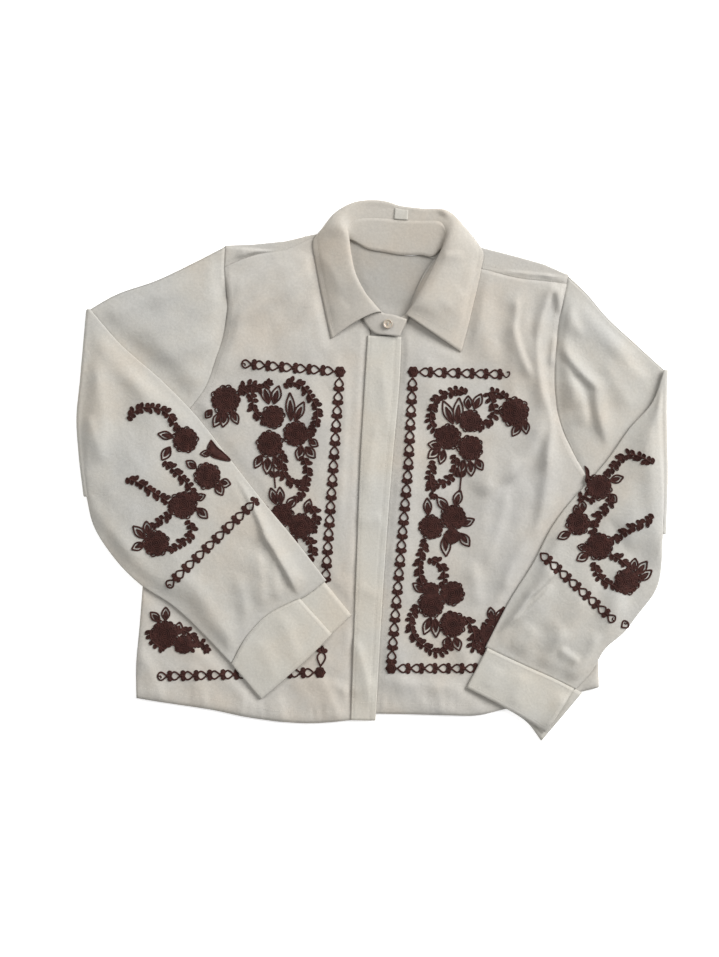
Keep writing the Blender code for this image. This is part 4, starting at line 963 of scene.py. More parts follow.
def loop_points(base, tip, half, blunt=0.0):
    """A leaf or link outline: pointed at its base and tip, or round at the tip where blunt is 1."""
    run = tip - base
    side = np.array([-run[1], run[0]]) / np.linalg.norm(run) * half
    t = np.linspace(0, 1, 9)
    swell = np.sin(math.pi * t ** (1.0 + 0.55 * blunt)) ** (1.0 - 0.35 * blunt)
    there = [base + run * s + side * w for s, w in zip(t, swell)]
    back = [base + run * s - side * w for s, w in zip(t[::-1], swell[::-1])]
    return np.array(there + back[1:-1])


def lay(threads, tree, path, radius=CORD, closed=False, lift=0.0, step=CORD_STEP):
    if closed:
        path = np.concatenate([path, path[:1]])
    fine = resample(path, step)
    if closed:
        fine = fine[:-1]
    threads.tube(drop(tree, fine, radius * 0.55 + lift), radius, closed=closed)


def lay_flower(threads, tree, x, y, radius, number):
    """A round flower: a coiled heart, two rounds of looped petals and a solid ground under them."""
    centre = spot(x, y)
    radius *= PIXEL
    petals = 14 if radius > 14 else 12
    turn = 0.7 * number
    angles = np.linspace(0, 2 * math.pi, petals * 4, endpoint=False)
    rim = centre + np.stack([np.cos(angles + turn), np.sin(angles + turn)], axis=-1) * (
        radius * (0.92 + 0.07 * np.cos(angles * petals + 2 * np.sin(angles))))[:, None]
    threads.pad(tree, rim, centre, 0.5, (0.93, 0.72, 0.45, 0.2))
    spiral_turns = radius * 0.5 / 1.9
    t = np.linspace(0, 1, int(spiral_turns * 16))
    spin = t * spiral_turns * 2 * math.pi + turn
    lay(threads, tree, centre + np.stack([np.cos(spin), np.sin(spin)], axis=-1) * (radius * 0.5 * t)[:, None] + 0.01,
        CORD * 0.95, lift=0.5)
    for low, high, shift, count in ((0.40, 0.80, 0.5, petals - 2), (0.62, 1.0, 0.0, petals)):
        for petal in range(count):
            angle = turn + 2 * math.pi * (petal + shift) / count
            out = np.array([math.cos(angle), math.sin(angle)])
            half = math.pi * radius * (low + high) / 2 / count * 1.02
            reach = radius * (high - 0.03 + 0.06 * math.sin(2.3 * petal + number))
            outline = loop_points(centre + out * radius * low, centre + out * reach, half, 1.0)
            lay(threads, tree, outline, CORD, closed=True, lift=0.35)
            middle = [centre + out * radius * (low + 0.08), centre + out * radius * (high - 0.1)]
            lay(threads, tree, np.array(middle), CORD, lift=0.2)


def lay_leaf(threads, tree, x0, y0, x1, y1, half):
    """A leaf: an outer loop round a narrow solid core."""
    base, tip = spot(x0, y0), spot(x1, y1)
    lay(threads, tree, loop_points(base, tip, half * 1.08), CORD * 1.25, closed=True, lift=0.1)
    inner = base + (tip - base) * 0.06
    end = base + (tip - base) * 0.74
    core = loop_points(inner, end, half * 0.5)
    threads.pad(tree, core[::2], (inner + end) / 2, 0.5)
    lay(threads, tree, core, CORD * 0.8, closed=True, lift=0.2)


def lay_lobe(threads, tree, base, tip, half):
    """A small solid leaflet with a cord round it."""
    outline = loop_points(base, tip, half, 0.4)
    threads.pad(tree, outline[::3], (base + tip) / 2, 0.35)
    lay(threads, tree, outline, CORD * 0.9, closed=True, lift=0.12, step=1.3)


def lay_vine(threads, tree, points):
    """A dense branch: a stem with looped leaflets on both sides, narrowing to an end leaf."""
    stem = resample([spot(x, y) for x, y in points], CORD_STEP)
    lay(threads, tree, stem, CORD * 1.25, lift=0.25)
    length = np.linalg.norm(np.diff(stem, axis=0), axis=1).sum()
    marks = resample(stem, length / max(3, int(length / 2.7)))
    ahead = unit(np.gradient(marks, axis=0))
    last = len(marks) - 1
    for number in range(last):
        hand = 1 if number % 2 else -1
        side = np.array([-ahead[number][1], ahead[number][0]]) * hand
        reach = 6.6 + 1.3 * math.sin(number * 2.7) - 1.6 * max(0, 1 - (last - number) / 4)
        lean = 0.56 + 0.2 * math.sin(number * 1.7)
        tip = marks[number] + (ahead[number] * lean + side * math.sqrt(1 - lean * lean)) * reach
        lay_lobe(threads, tree, marks[number], tip, 1.9 + 0.3 * math.sin(number * 3.1))
    for turn in (-0.7, 0, 0.7):
        side = np.array([-ahead[-1][1], ahead[-1][0]]) * math.sin(turn)
        end = marks[-1] + (ahead[-1] * math.cos(turn) + side) * 6.2
        lay_lobe(threads, tree, marks[-1], end, 1.6)


def lay_knot(threads, tree, centre, radius):
    angles = np.linspace(0, 2 * math.pi, 24, endpoint=False)
    rim = centre + np.stack([np.cos(angles), np.sin(angles)], axis=-1) * (radius * (0.9 + 0.1 * np.cos(angles * 6)))[:, None]
    threads.pad(tree, rim, centre, 1.0, (0.93, 0.5))
    lay(threads, tree, rim, CORD, closed=True, lift=0.2)
    spin = np.linspace(0, 5 * math.pi, 40)
    lay(threads, tree, centre + np.stack([np.cos(spin), np.sin(spin)], axis=-1) * (radius * 0.75 * spin / spin[-1])[:, None]
        + 0.01, CORD, lift=0.8)


def lay_spike(threads, tree, corners):
    """A solid pointed shape over the sleeve's edge."""
    rim = np.array([spot(x, y) for x, y in corners])
    threads.pad(tree, rim, rim.mean(axis=0), 0.7, (0.93, 0.5))
    lay(threads, tree, rim, CORD, closed=True, lift=0.3)


def lay_block(threads, tree, block, ahead, side):
    """A solid block of three bumps."""
    for shift in (-1, 1, 0):
        centre = block + side * shift * 3.6 + ahead * (0.2 if shift else 1.9)
        angles = np.linspace(0, 2 * math.pi, 10, endpoint=False)
        rim = centre + np.stack([np.cos(angles), np.sin(angles)], axis=-1) * 2.1
        threads.pad(tree, rim, centre, 0.8)
        lay(threads, tree, rim, CORD * 0.9, closed=True, lift=0.2)


def lay_chain(threads, tree, x0, y0, x1, y1, knot, open_end=0):
    """A border of links: an open drop that points at the run's start, and a solid block of three bumps."""
    start, end = spot(x0, y0), spot(x1, y1)
    if knot:
        lay_knot(threads, tree, start, 5.9)
    run = end - start
    ahead = unit(run)
    side = np.array([-ahead[1], ahead[0]])
    begin = 7.0 if knot or (x0, y0) in ((340, 372), (320, 672), (413, 372)) else 0.0
    length = np.linalg.norm(run) - begin
    count = round(length / LINK)
    pitch = length / max(1, count)
    if begin:
        lay(threads, tree, np.array([start, start + ahead * (begin + 1.5)]), CORD * 1.1)
    for number in range(count):
        at = start + ahead * (begin + number * pitch)
        drop_end = at + ahead * pitch * 0.70
        lay(threads, tree, loop_points(at, drop_end, 4.5, 1.0), CORD * 1.25, closed=True, step=1.0)
        if open_end == 1 and number == count - 1:
            heart = at + ahead * pitch * 0.45
            lay(threads, tree, np.array([drop_end, heart, heart + side * 2.2]), CORD)
            continue
        block = at + ahead * pitch * 0.78
        lay_block(threads, tree, block, ahead, side)
        lay(threads, tree, np.array([block, block + ahead * pitch * 0.26]), CORD * 1.4, lift=0.1)
    if open_end == 2:
        bend = end + ahead * 4.2 - side * 3.4
        hook = np.array([end, bend, end + ahead * 7.4, end + ahead * 7.0 + side * 3.0, end + ahead * 4.6 + side * 2.4])
        lay(threads, tree, hook, CORD)
    if open_end == 3:
        lay_block(threads, tree, start - ahead * 1.2, -ahead, side)
        lay(threads, tree, np.array([start - ahead * 2.4, start + ahead * 2.0]), CORD * 1.4, lift=0.1)


def stitch_line(threads, path, radius=STITCH_RADIUS):
    """Stitches along a 3-D path, each a short low thread with a gap after it."""
    steps = np.linalg.norm(np.diff(path, axis=0), axis=1)
    at = np.concatenate([[0], np.cumsum(steps)])
    count = int(at[-1] / STITCH_PITCH)
    for number in range(count):
        begin = number * STITCH_PITCH
        places = begin + np.array([0, 0.25, 0.75, 1.0]) * STITCH_LONG
        points = np.stack([np.interp(places, at, path[:, axis]) for axis in range(3)], axis=-1)
        points[[0, -1], 2] -= radius * 1.2
        threads.tube(points, radius, sides=5, flat=0.9)


def on_top(tree, path, lift=0.06):
    """A plan path laid on the cloth."""
    return drop(tree, path, lift)


def sleeve_grid(sleeve, shift):
    """The flattened sleeve from the armhole over its elbow fold to the cuff seam, with its creases."""
    across = ARMHOLE_STEPS
    armhole = armhole_seam(sleeve)
    elbow = smooth(sleeve["elbow"], across)
    upper_edge, under_edge = (smooth(sleeve[key], UPPER_STEPS) for key in ("upper_edge", "under_edge"))
    upper_edge[0], under_edge[0] = armhole[0], armhole[-1]
    plan = patch(armhole, elbow, upper_edge, under_edge)
    swell = np.sin(np.linspace(0, math.pi, across + 1))[None]
    run = np.linspace(0, 1, UPPER_STEPS + 1)[:, None]
    free = np.ones(plan.shape[:2])
    for outline in FOREARM_FOOTPRINTS:
        free = np.minimum(free, soft_step(distance_outside(plan, outline) / 26 - 0.15))
    low = np.full(plan.shape[:2], BACK_MID)
    high = low + CLOTH + ELBOW_GAP + 0.3 * swell * (1 - run) + 2.4 * swell * np.sin(math.pi * run) * free
    edges = soft_step(swell * 2.2)
    high = high + (crease_height(plan, ARM_CREASES) + 0.8 * crumple(plan, shift)) * (
        edges * free * soft_step(run * 9) * soft_step((1 - run) * 6))
    upper = tube_rings(plan, low, high)

    fore_upper = np.array(sleeve["fore_upper"], float)
    fore_under = np.array(sleeve["fore_under"], float)
    fore_upper[0], fore_under[0] = elbow[0], elbow[-1]
    tuck = np.array(CUFF_TUCK[sleeve["inward"]])
    seam = smooth(sleeve["cuff_seam"], across) + tuck
    fore_upper[-1] += tuck
    fore_under[-1] += tuck
    plan = patch(elbow, seam, smooth(fore_upper, FOREARM_STEPS), smooth(fore_under, FOREARM_STEPS))
    run = np.linspace(0, 1, FOREARM_STEPS + 1)[:, None]
    at_fold = BACK_MID + CLOTH + ELBOW_GAP + 2 * ELBOW_RADIUS + CLOTH
    near_fold = soft_step(1 - distance_to(plan, elbow[:-1], elbow[1:]) / FOLD_REACH)
    low = carried_mid(plan, sleeve) * (1 - near_fold) + at_fold * near_fold
    puff = 2.2 * swell**0.7 * soft_step(run * 6) * soft_step((1 - run) * 5)
    gathers = np.sin(np.linspace(0, 13 * math.pi, across + 1) + shift)[None] * soft_step((run - 0.84) / 0.12)
    puff = puff + (crease_height(plan, FORE_CREASES) + 0.9 * crumple(plan, shift + 2) + 0.35 * (1 + gathers)) * (
        edges * soft_step(run * 12) * soft_step((1 - run) * 14))
    # The upper arm's top wall becomes the forearm's lower wall
    fore = tube_rings(plan, low + CLOTH + ELBOW_GAP + puff, low)
    return np.concatenate([upper, bend_rings(elbow, sleeve["inward"]), fore])


def cuff_grid(cuff, sleeve):
    """A band round the wrist, open at one side: the upper layer, the fold and the longer lower layer."""
    half = (DOUBLED + CUFF_GAP) / 2
    layers = []
    for seam, end in (("seam", "end"), ("under_seam", "under_end")):
        first, last = smooth(cuff[seam], CUFF_ACROSS), smooth(cuff[end], CUFF_ACROSS)
        share = np.linspace(0, 1, CUFF_DOWN + 1)[:, None, None]
        layers.append(first * (1 - share) + last * share)
    upper, under = layers
    outward = unit(under[:, -1] - under[:, -2])
    for layer in layers:
        away = np.linalg.norm(layer - layer[:, -1:], axis=-1)
        layer -= outward[:, None] * (np.exp(-away / EDGE_SOFTNESS) * (half + DOUBLED / 2))[..., None]
    raise_by = (DOUBLED - CLOTH) / 2
    low = carried_mid(under, sleeve) + raise_by
    high = carried_mid(upper, sleeve) + raise_by + 2 * half
    edge = with_height(under[:, -1], low[:, -1] + half)
    turned = rounded_edge(edge, with_height(outward, 0.0), np.array([0, 0, 1.0]), half, half, EDGE_ANGLES)
    plan_room = soft_step(np.linspace(0, 1, CUFF_ACROSS + 1) * 12)[None] * soft_step(np.linspace(1, 0, CUFF_ACROSS + 1) * 5)
    high = high + 0.45 * crumple(upper, sleeve["inward"]) * plan_room + crease_height(upper, CUFF_CREASES)
    return np.concatenate([with_height(upper, high), turned, with_height(under, low)[:, ::-1]], axis=1)


def between(grid, rows, columns):
    """Points of a grid at fractional rows and columns."""
    row, column = np.floor(rows).astype(int), np.floor(columns).astype(int)
    down, across = (rows - row)[:, None, None], (columns - column)[None, :, None]
    left = grid[row][:, column] * (1 - down) + grid[row + 1][:, column] * down
    right = grid[row][:, column + 1] * (1 - down) + grid[row + 1][:, column + 1] * down
    return left * (1 - across) + right * across


def tab_grid():
    """A small sewn patch on the inside of the collar, at the top of the back."""
    leaf = leaf_grid()
    lifted = leaf + unit(grid_normals(leaf, False)) * (LEAF / 2 + SEAM + TAB_CLOTH / 2)
    rows, columns = np.array(TAB_ROWS) * COLLAR_STEPS, np.array(TAB_COLUMNS) * LEAF_ACROSS
    return between(lifted, np.linspace(*rows, TAB_STEPS), np.linspace(*columns, TAB_STEPS))


def tint(material_nodes, links, colour, warm, cool, scale, amount):
    """A base colour that drifts softly between a warm and a cool one."""
    place = material_nodes.new("ShaderNodeTexCoord")
    cloud = material_nodes.new("ShaderNodeTexNoise")
    cloud.inputs["Scale"].default_value = scale
    cloud.inputs["Detail"].default_value = 4
    cloud.inputs["Roughness"].default_value = 0.6
    links.new(place.outputs["Object"], cloud.inputs["Vector"])
    ramp = material_nodes.new("ShaderNodeValToRGB")
    low, high = ramp.color_ramp.elements
    low.position, high.position = 0.5 - amount, 0.5 + amount
    low.color, high.color = (*warm, 1), (*cool, 1)
    middle = ramp.color_ramp.elements.new(0.5)
    middle.color = (*colour, 1)
    links.new(cloud.outputs["Fac"], ramp.inputs["Fac"])
    return place, ramp


def cotton_material(name, colour, weave=0.25, crumple_strength=0.35, painted_shade_at_neck=0.0):
    """Plain woven cotton. A painted shade at the neck darkens the colour inside the neck opening, where the collar
    keeps the light off.
    """
    made = bpy.data.materials.new(name)
    made.use_nodes = True
    nodes, links = made.node_tree.nodes, made.node_tree.links
    shader = nodes["Principled BSDF"]
    shader.inputs["Roughness"].default_value = 0.9
    shader.inputs["Sheen Weight"].default_value = 0.12
    shader.inputs["Sheen Roughness"].default_value = 0.5
    shader.inputs["Specular IOR Level"].default_value = 0.2
    warm = (colour[0] * 1.03, colour[1] * 0.985, colour[2] * 0.94)
    cool = (colour[0] * 0.965, colour[1] * 0.985, colour[2] * 1.02)
    place, ramp = tint(nodes, links, colour, warm, cool, 9.0, 0.16)
    slub = nodes.new("ShaderNodeTexNoise")
    slub.inputs["Scale"].default_value = 420
    slub.inputs["Detail"].default_value = 3
    links.new(place.outputs["Object"], slub.inputs["Vector"])
    speck = nodes.new("ShaderNodeMapRange")
    speck.inputs["From Min"].default_value = 0.3
    speck.inputs["From Max"].default_value = 0.7
    speck.inputs["To Min"].default_value = 0.93
    speck.inputs["To Max"].default_value = 1.04
    links.new(slub.outputs["Fac"], speck.inputs["Value"])
    shade = nodes.new("ShaderNodeVectorMath")
    shade.operation = "SCALE"
    links.new(ramp.outputs["Color"], shade.inputs[0])
    links.new(speck.outputs["Result"], shade.inputs["Scale"])
    links.new(shade.outputs["Vector"], shader.inputs["Base Color"])
    # Painted shade: the colour darkens inside the neck opening, full near its middle and fading out towards its rim
    if painted_shade_at_neck:
        reach = nodes.new("ShaderNodeVectorMath")
        reach.operation = "DISTANCE"
        reach.inputs[1].default_value = ((NECK_SHADE_CENTRE[0] + CENTRE[0]) * MM, (NECK_SHADE_CENTRE[1] + CENTRE[1]) * MM, 0)
        links.new(place.outputs["Object"], reach.inputs[0])
        fade = nodes.new("ShaderNodeMapRange")
        fade.inputs["From Min"].default_value = NECK_SHADE_FULL * MM
        fade.inputs["From Max"].default_value = NECK_SHADE_END * MM
        fade.inputs["To Min"].default_value = 1 - painted_shade_at_neck
        fade.inputs["To Max"].default_value = 1
        links.new(reach.outputs["Value"], fade.inputs["Value"])
        painted_shade = nodes.new("ShaderNodeVectorMath")
        painted_shade.operation = "SCALE"
        links.new(shade.outputs["Vector"], painted_shade.inputs[0])
        links.new(fade.outputs["Result"], painted_shade.inputs["Scale"])
        links.new(painted_shade.outputs["Vector"], shader.inputs["Base Color"])
    height = None
    for direction in ("X", "Y"):
        yarn = nodes.new("ShaderNodeTexWave")
        yarn.bands_direction = direction
        yarn.inputs["Scale"].default_value = 520
        yarn.inputs["Distortion"].default_value = 1.5
        yarn.inputs["Detail"].default_value = 1
        links.new(place.outputs["Object"], yarn.inputs["Vector"])
        if height is None:
            height = yarn
        else:
            both = nodes.new("ShaderNodeMath")
            both.operation = "MAXIMUM"
            links.new(height.outputs["Fac"], both.inputs[0])
            links.new(yarn.outputs["Fac"], both.inputs[1])
    fine = nodes.new("ShaderNodeBump")
    fine.inputs["Strength"].default_value = weave
    fine.inputs["Distance"].default_value = 0.0002
    links.new(both.outputs["Value"], fine.inputs["Height"])
    waves = nodes.new("ShaderNodeTexNoise")
    waves.inputs["Scale"].default_value = 75
    waves.inputs["Detail"].default_value = 5
    waves.inputs["Roughness"].default_value = 0.62
    waves.inputs["Distortion"].default_value = 0.6
    links.new(place.outputs["Object"], waves.inputs["Vector"])
    soft = nodes.new("ShaderNodeBump")
    soft.inputs["Strength"].default_value = crumple_strength
    soft.inputs["Distance"].default_value = 0.0016
    links.new(waves.outputs["Fac"], soft.inputs["Height"])
    links.new(fine.outputs["Normal"], soft.inputs["Normal"])
    links.new(soft.outputs["Normal"], shader.inputs["Normal"])
    return made


def thread_material():
    made = bpy.data.materials.new("brown_cord")
    made.use_nodes = True
    nodes, links = made.node_tree.nodes, made.node_tree.links
    shader = nodes["Principled BSDF"]
    shader.inputs["Roughness"].default_value = 0.75
    shader.inputs["Sheen Weight"].default_value = 0.06
    shader.inputs["Sheen Tint"].default_value = (0.5, 0.25, 0.2, 1)
    shader.inputs["Specular IOR Level"].default_value = 0.2
    place, ramp = tint(nodes, links, THREAD_COLOUR, tuple(c * 1.5 for c in THREAD_COLOUR),
                       tuple(c * 0.62 for c in THREAD_COLOUR), 160, 0.2)
    links.new(ramp.outputs["Color"], shader.inputs["Base Color"])
    twist = nodes.new("ShaderNodeTexNoise")
    twist.inputs["Scale"].default_value = 1500
    twist.inputs["Detail"].default_value = 2
    links.new(place.outputs["Object"], twist.inputs["Vector"])
    bump = nodes.new("ShaderNodeBump")
    bump.inputs["Strength"].default_value = 0.5
    bump.inputs["Distance"].default_value = 0.0003
    links.new(twist.outputs["Fac"], bump.inputs["Height"])
    links.new(bump.outputs["Normal"], shader.inputs["Normal"])
    return made


def button_material():
    made = bpy.data.materials.new("cream_resin")
    made.use_nodes = True
    nodes, links = made.node_tree.nodes, made.node_tree.links
    shader = nodes["Principled BSDF"]
    shader.inputs["Roughness"].default_value = 0.28
    shader.inputs["Coat Weight"].default_value = 0.3
    shader.inputs["Subsurface Weight"].default_value = 0.1
    shader.inputs["Subsurface Scale"].default_value = 0.002
    _, ramp = tint(nodes, links, BUTTON_COLOUR, tuple(c * 1.06 for c in BUTTON_COLOUR),
                   tuple(c * 0.9 for c in BUTTON_COLOUR), 220, 0.25)
    links.new(ramp.outputs["Color"], shader.inputs["Base Color"])
    return made


def floor_material():
    made = bpy.data.materials.new("pale_floor")
    made.use_nodes = True
    nodes, links = made.node_tree.nodes, made.node_tree.links
    shader = nodes["Principled BSDF"]
    shader.inputs["Roughness"].default_value = 0.95
    shader.inputs["Specular IOR Level"].default_value = 0.1
    shader.inputs["Emission Color"].default_value = (1, 1, 1, 1)
    shader.inputs["Emission Strength"].default_value = FLOOR_GLOW
    _, ramp = tint(nodes, links, (0.93, 0.93, 0.93), (0.935, 0.93, 0.925), (0.925, 0.93, 0.935), 3.0, 0.2)
    links.new(ramp.outputs["Color"], shader.inputs["Base Color"])
    return made


def back_grid():
    seam_right = smooth(ARMHOLE_RIGHT, ARMHOLE_STEPS)[YOKE_STEP:]
    seam_left = smooth(ARMHOLE_LEFT, ARMHOLE_STEPS)[YOKE_STEP:]
    hem = joined((HEM_RIGHT[::-1], 60), ((HEM_RIGHT[0], HEM_LEFT[0]), 6), (HEM_LEFT, 60))
    hem[:, 1] += 2.0 * np.sin(np.linspace(0, math.pi, len(hem)))
    top = np.linspace(seam_right[0], seam_left[0], len(hem))
    right = np.concatenate([smooth(SIDE_RIGHT, SIDE_STEPS), seam_right[::-1][1:]])
    left = np.concatenate([smooth(SIDE_LEFT, SIDE_STEPS), seam_left[::-1][1:]])
    return with_height(patch(hem, top, right, left), BACK_MID)


def lengths_from(points):
    steps = np.linalg.norm(np.diff(points, axis=0), axis=1)
    return np.concatenate([[0], np.cumsum(steps)])


def groove(grid, depth):
    """How far the stitches sink the cloth along a line at a depth from each row's last point."""
    steps = np.linalg.norm(np.diff(grid[:, ::-1, :2], axis=1), axis=-1)
    reach = np.concatenate([np.zeros((len(grid), 1)), np.cumsum(steps, axis=1)], axis=1)[:, ::-1]
    return GROOVE * np.exp(-(((reach - depth) / GROOVE_WIDTH) ** 2))


def at_depth(row, depth):
    """The point of a row of 3-D points at a distance from its last one."""
    reach = lengths_from(row[::-1])
    return np.array([np.interp(depth, reach, row[::-1][:, axis]) for axis in range(3)])


def leaf_top(grid, thickness):
    normals = grid_normals(grid, False)
    up = np.sign(normals[..., 2:3])
    return grid + normals * np.where(up == 0, 1, up) * thickness / 2


def offset_row(points, distance):
    """A plan row moved sideways, to its left where the distance is positive."""
    ahead = unit(np.gradient(points, axis=0))
    return points + np.stack([-ahead[:, 1], ahead[:, 0]], axis=-1) * distance


def build_cloth(name, node, grid, thickness, finish, ring=False):
    made = cloth_shell(name, grid, thickness, finish, ring)
    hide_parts(node)
    return made


def lathe_button(finish, threads_finish):
    base = STAND_STATIONS[2][5] + DOUBLED / 2 + SEAM
    profile = ((0.0, 0.0), (0.80, 0.0), (0.95, 0.22), (1.0, 0.5), (0.98, 0.8), (0.92, 0.96), (0.84, 1.0),
               (0.74, 0.9), (0.64, 0.7), (0.5, 0.64), (0.0, 0.62))
    sides = 48
    points, faces = [], []
    for share, rise in profile:
        for side in range(sides):
            turn = 2 * math.pi * side / sides
            points.append((BUTTON_AT[0] + BUTTON_RADIUS * max(share, 0.01) * math.cos(turn),
                           BUTTON_AT[1] + BUTTON_RADIUS * max(share, 0.01) * math.sin(turn),
                           base + BUTTON_THICK * rise))
    for ring in range(len(profile) - 1):
        for side in range(sides):
            after = (side + 1) % sides
            faces.append([ring * sides + side, ring * sides + after, (ring + 1) * sides + after,
                          (ring + 1) * sides + side])
    faces.append(list(range(sides))[::-1])
    faces.append([(len(profile) - 1) * sides + side for side in range(sides)])
    mesh = bpy.data.meshes.new("button")
    mesh.from_pydata([((x + CENTRE[0]) * MM, (y + CENTRE[1]) * MM, z * MM) for x, y, z in points], [], faces)
    mesh.shade_smooth()
    made = bpy.data.objects.new("button", mesh)
    made.data.materials.append(finish)
    bpy.context.scene.collection.objects.link(made)
    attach(made, "root")
    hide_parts("collar_button")
    sewing = Threads()
    top = base + BUTTON_THICK * 0.62
    holes = [np.array(BUTTON_AT) + offset for offset in ((-1.15, 1.15), (1.15, 1.15), (1.15, -1.15), (-1.15, -1.15))]
    for first, second in ((0, 2), (1, 3), (0, 1), (2, 3)):
        start, end = holes[first], holes[second]
        t = np.linspace(0, 1, 7)[:, None]
        path = start * (1 - t) + end * t
        lift = top + 0.1 + 0.55 * np.sin(math.pi * t)
        sewing.tube(np.concatenate([path, lift], axis=1), 0.24)
    made = sewing.build("button_thread", threads_finish)
    return made


THREAD_COLOUR = (0.040, 0.0135, 0.0105)
BUTTON_COLOUR = (0.44, 0.375, 0.30)
CLOTH_COLOUR = (0.468, 0.445, 0.405)

body_cotton = cotton_material("cream_cotton", CLOTH_COLOUR)
# The back and the yoke share this cotton, with painted shade inside the neck opening
back_cotton = cotton_material("cream_cotton_with_painted_shade_at_neck", CLOTH_COLOUR, painted_shade_at_neck=0.2)
sleeve_cotton = cotton_material("cream_sleeve_cotton", (0.465, 0.447, 0.408), crumple_strength=0.42)
pressed_cotton = cotton_material("cream_pressed_cotton", (0.505, 0.482, 0.43), crumple_strength=0.3)
collar_cotton = cotton_material("cream_collar_cotton", (0.475, 0.443, 0.393), crumple_strength=0.25)
sewing_cotton = cotton_material("cream_sewing_thread", (0.50, 0.475, 0.43), weave=0.1, crumple_strength=0.1)
brown_cord = thread_material()
resin = button_material()

# Body
back = build_cloth("back_cloth", "back", back_grid(), CLOTH, back_cotton)
yoke_middle = yoke_grid()
yoke_plan = yoke_middle[..., :2]
over = soft_step((yoke_middle[..., 2] - FRONT_MID + 0.1) / 0.1)
room = soft_step(-distance_outside(yoke_plan, body_outline()) / 4 + 0.35) * pressed(yoke_plan, COLLAR_FOOTPRINTS, 6, 0)
room *= soft_step(np.linspace(6, 0, yoke_plan.shape[1]))[None]
yoke_middle[..., 2] += (crumple(yoke_plan, 2.0) * 0.8 + crease_height(yoke_plan, YOKE_CREASES)) * over * room
yoke = build_cloth("yoke_cloth", "yoke", yoke_middle, CLOTH, back_cotton)
right_middle = hem_step(body_folds(front_right_grid(), 0.4))
front_right = build_cloth("front_right_cloth", "front_right", right_middle, CLOTH, body_cotton)
left_middle = hem_step(body_folds(front_left_grid(), 3.1))
front_left = build_cloth("front_left_cloth", "front_left", left_middle, CLOTH, body_cotton)
placket_middle = placket_grid()
placket_plan = placket_middle[..., :2]
placket_middle[..., 2] += (crease_height(placket_plan, PLACKET_CREASES) + 0.35 * crumple(placket_plan, 5.2)) * (
    pressed(placket_plan, COLLAR_FOOTPRINTS + FOREARM_FOOTPRINTS, 8, 0))
placket_middle[..., 2] -= groove(placket_middle, 6.5) + groove(placket_middle[:, ::-1], 1.8)[:, ::-1]
placket = build_cloth("placket_cloth", "placket", placket_middle, DOUBLED, pressed_cotton)

# Sleeves and cuffs
sleeves = {}
for side, sleeve, cuff, shift in (("right", SLEEVE_RIGHT, CUFF_RIGHT, 1.2), ("left", SLEEVE_LEFT, CUFF_LEFT, 4.4)):
    sleeves[side] = build_cloth(f"sleeve_{side}_cloth", f"sleeve_{side}", sleeve_grid(sleeve, shift), CLOTH,
                                sleeve_cotton)
    sleeves["cuff_" + side] = build_cloth(f"cuff_{side}_cloth", f"cuff_{side}", cuff_grid(cuff, sleeve), DOUBLED,
                                          pressed_cotton)

# Collar
stand_middle = stand_grid()
behind = np.exp(-((stand_middle[:, 0, 0] - 66) / 9) ** 2) * (stand_middle[:, -1, 1] > 262)
stand_middle[..., 1] -= STAND_LAP * behind[:, None] * np.linspace(1, 0, stand_middle.shape[1])
stand = build_cloth("collar_stand_cloth", "collar_stand", stand_middle, DOUBLED, collar_cotton)
leaf_middle = leaf_grid()
leaf_plan = leaf_middle[..., :2]
leaf_room = np.linspace(0, 1, leaf_middle.shape[1])[None] * np.ones(leaf_middle.shape[:2])
leaf_room = soft_step((leaf_room - 0.12) * 5) * soft_step((1 - leaf_room) * 6)
leaf_middle[..., 2] += (crease_height(leaf_plan, LEAF_CREASES) + 0.35 * crumple(leaf_plan, 0.8)) * leaf_room
leaf_middle[..., 2] -= groove(leaf_middle, 5.0) * soft_step(leaf_middle[..., 2] / 2 - 1)
leaf = build_cloth("collar_leaf_cloth", "collar_leaf", leaf_middle, LEAF, collar_cotton)
tab = build_cloth("neck_tab_cloth", "neck_tab", tab_grid(), TAB_CLOTH, pressed_cotton)
lathe_button(resin, sewing_cotton)

# Embroidery
carriers = {"front_right": front_right, "front_left": front_left, "sleeve_right": sleeves["right"],
            "sleeve_left": sleeves["left"]}
node_names = [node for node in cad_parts]
for carrier, cloth in carriers.items():
    tree = surface_tree(cloth)
    threads = Threads()
    for row in CHAIN_RUNS:
        if row[0] == carrier:
            lay_chain(threads, tree, *row[1:])
    for row in STEMS:
        if row[0] == carrier:
            lay(threads, tree, np.array([spot(x, y) for x, y in row[1:]]), CORD * 1.1, lift=0.2)
    for row in SPIKES:
        if row[0] == carrier:
            lay_spike(threads, tree, row[1:])
    for number, row in enumerate(FLOWERS):
        if row[0] == carrier:
            lay_flower(threads, tree, *row[1:], number)
    for row in LEAVES:
        if row[0] == carrier:
            lay_leaf(threads, tree, *row[1:])
    for row in VINES:
        if row[0] == carrier:
            lay_vine(threads, tree, row[1:])
    made = threads.build("embroidery_" + carrier, brown_cord)
    chains = [name for name, on in CHAIN_NODES if on == carrier]
    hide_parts(*chains, *[name for name in node_names if name.startswith("flower_" + carrier)])

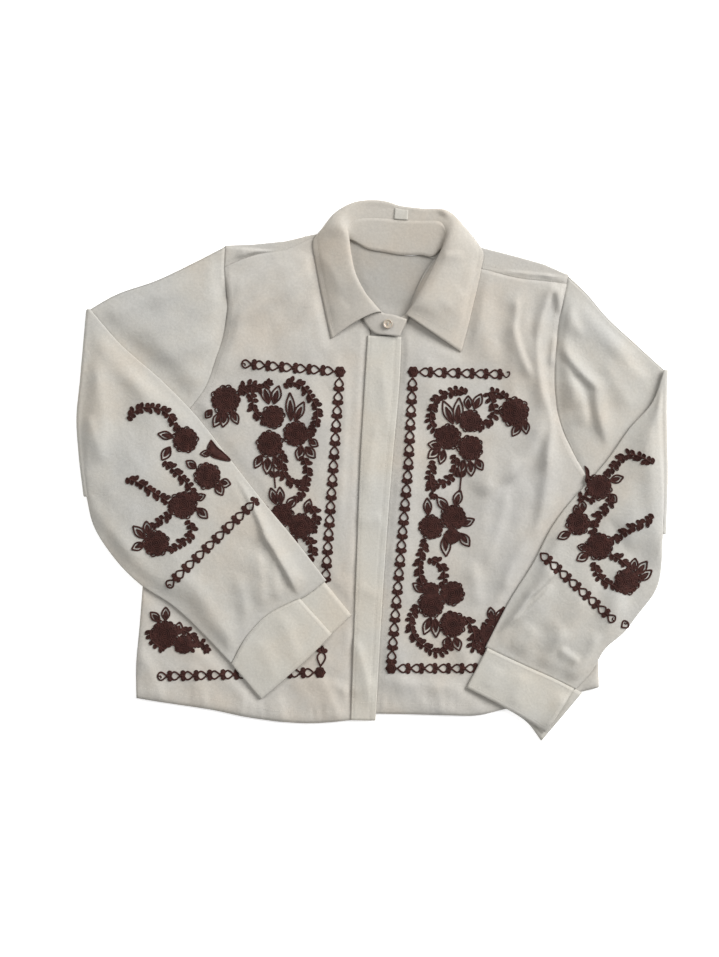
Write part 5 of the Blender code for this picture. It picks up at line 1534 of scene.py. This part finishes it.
# Stitches
front_tree = surface_tree(front_right, front_left, placket, yoke)
sewing = Threads()
for hem in (HEM_RIGHT, HEM_LEFT):
    line = smooth(hem, 120)[3:-2] + (0, HEM_DEPTH)
    stitch_line(sewing, on_top(front_tree, line))
placket_seam = smooth(PLACKET_SEAM, 160)
placket_edge = smooth(PLACKET_EDGE, 160)
stitch_line(sewing, on_top(front_tree, placket_seam[2:-1] + (1.6, 0)))
stitch_line(sewing, on_top(front_tree, placket_edge[2:-1] - (7.0, 0)))
for seam, away in ((YOKE_SEAM_RIGHT, 1.8), (YOKE_SEAM_LEFT, 1.8), (YOKE_SEAM_RIGHT, 6.0), (YOKE_SEAM_LEFT, 6.0)):
    stitch_line(sewing, on_top(front_tree, smooth(seam, 60)[2:-2] + (0, away)))
for armhole, inward in ((ARMHOLE_RIGHT, 1), (ARMHOLE_LEFT, -1)):
    line = offset_row(smooth(armhole, 120), 5.5 * inward)[3:-6]
    stitch_line(sewing, on_top(front_tree, line))
for side, cuff in (("right", CUFF_RIGHT), ("left", CUFF_LEFT)):
    tree = surface_tree(sleeves["cuff_" + side])
    for edge, other, depth in (("seam", "end", 3.0), ("end", "seam", 5.0)):
        first, last = smooth(cuff[edge], 60), smooth(cuff[other], 60)
        line = first + unit(last - first) * depth
        stitch_line(sewing, on_top(tree, line[2:-1]))
    first, last = smooth(cuff["seam"], 60)[0], smooth(cuff["end"], 60)[0]
    inside = unit(smooth(cuff["seam"], 60)[3] - first) * 4.0
    stitch_line(sewing, on_top(tree, np.linspace(first + inside, last + inside, 40)[3:-4]))
leaf_face = leaf_top(leaf_middle, LEAF)
stitch_line(sewing, np.array([at_depth(row, 5.0) for row in leaf_face[3:-3]]) + (0, 0, 0.06))
for row in (leaf_face[4], leaf_face[-5]):
    stitch_line(sewing, row[int(len(row) * 0.35):-5] + (0, 0, 0.06))
sewing.build("stitching", sewing_cotton)

# Stage
bpy.ops.mesh.primitive_grid_add(x_subdivisions=4, y_subdivisions=4, size=8, location=(0, 0, -0.0003))
floor = bpy.context.object
floor.name = "floor"
floor.data.materials.append(floor_material())

LIGHTS = (
    ("key", (4.2, 2.6, 3.1), 3.6, KEY_POWER),
    ("fill", (-3.0, 2.0, 4.5), 3.0, FILL_POWER),
)
for name, place, size, power in LIGHTS:
    lamp = bpy.data.lights.new(name, "AREA")
    lamp.size = size
    lamp.energy = power
    held = bpy.data.objects.new(name, lamp)
    held.location = place
    held.rotation_euler = (-Vector(place)).to_track_quat("-Z", "Y").to_euler()
    bpy.context.scene.collection.objects.link(held)
world = bpy.data.worlds.new("studio")
world.use_nodes = True
world.node_tree.nodes["Background"].inputs["Color"].default_value = (1, 0.995, 0.985, 1)
world.node_tree.nodes["Background"].inputs["Strength"].default_value = WORLD_POWER
bpy.context.scene.world = world
bpy.context.scene.view_settings.view_transform = "Standard"

lens = bpy.data.cameras.new("camera")
lens.sensor_fit = "VERTICAL"
lens.sensor_height = 36
lens.sensor_width = 36
lens.lens = CAMERA_HEIGHT / VIEW_TALL * 36
camera = bpy.data.objects.new("camera", lens)
camera.location = ((CENTRE[0] + VIEW_CENTRE[0]) * MM, (CENTRE[1] + VIEW_CENTRE[1]) * MM, CAMERA_HEIGHT * MM)
bpy.context.scene.collection.objects.link(camera)
bpy.context.scene.camera = camera
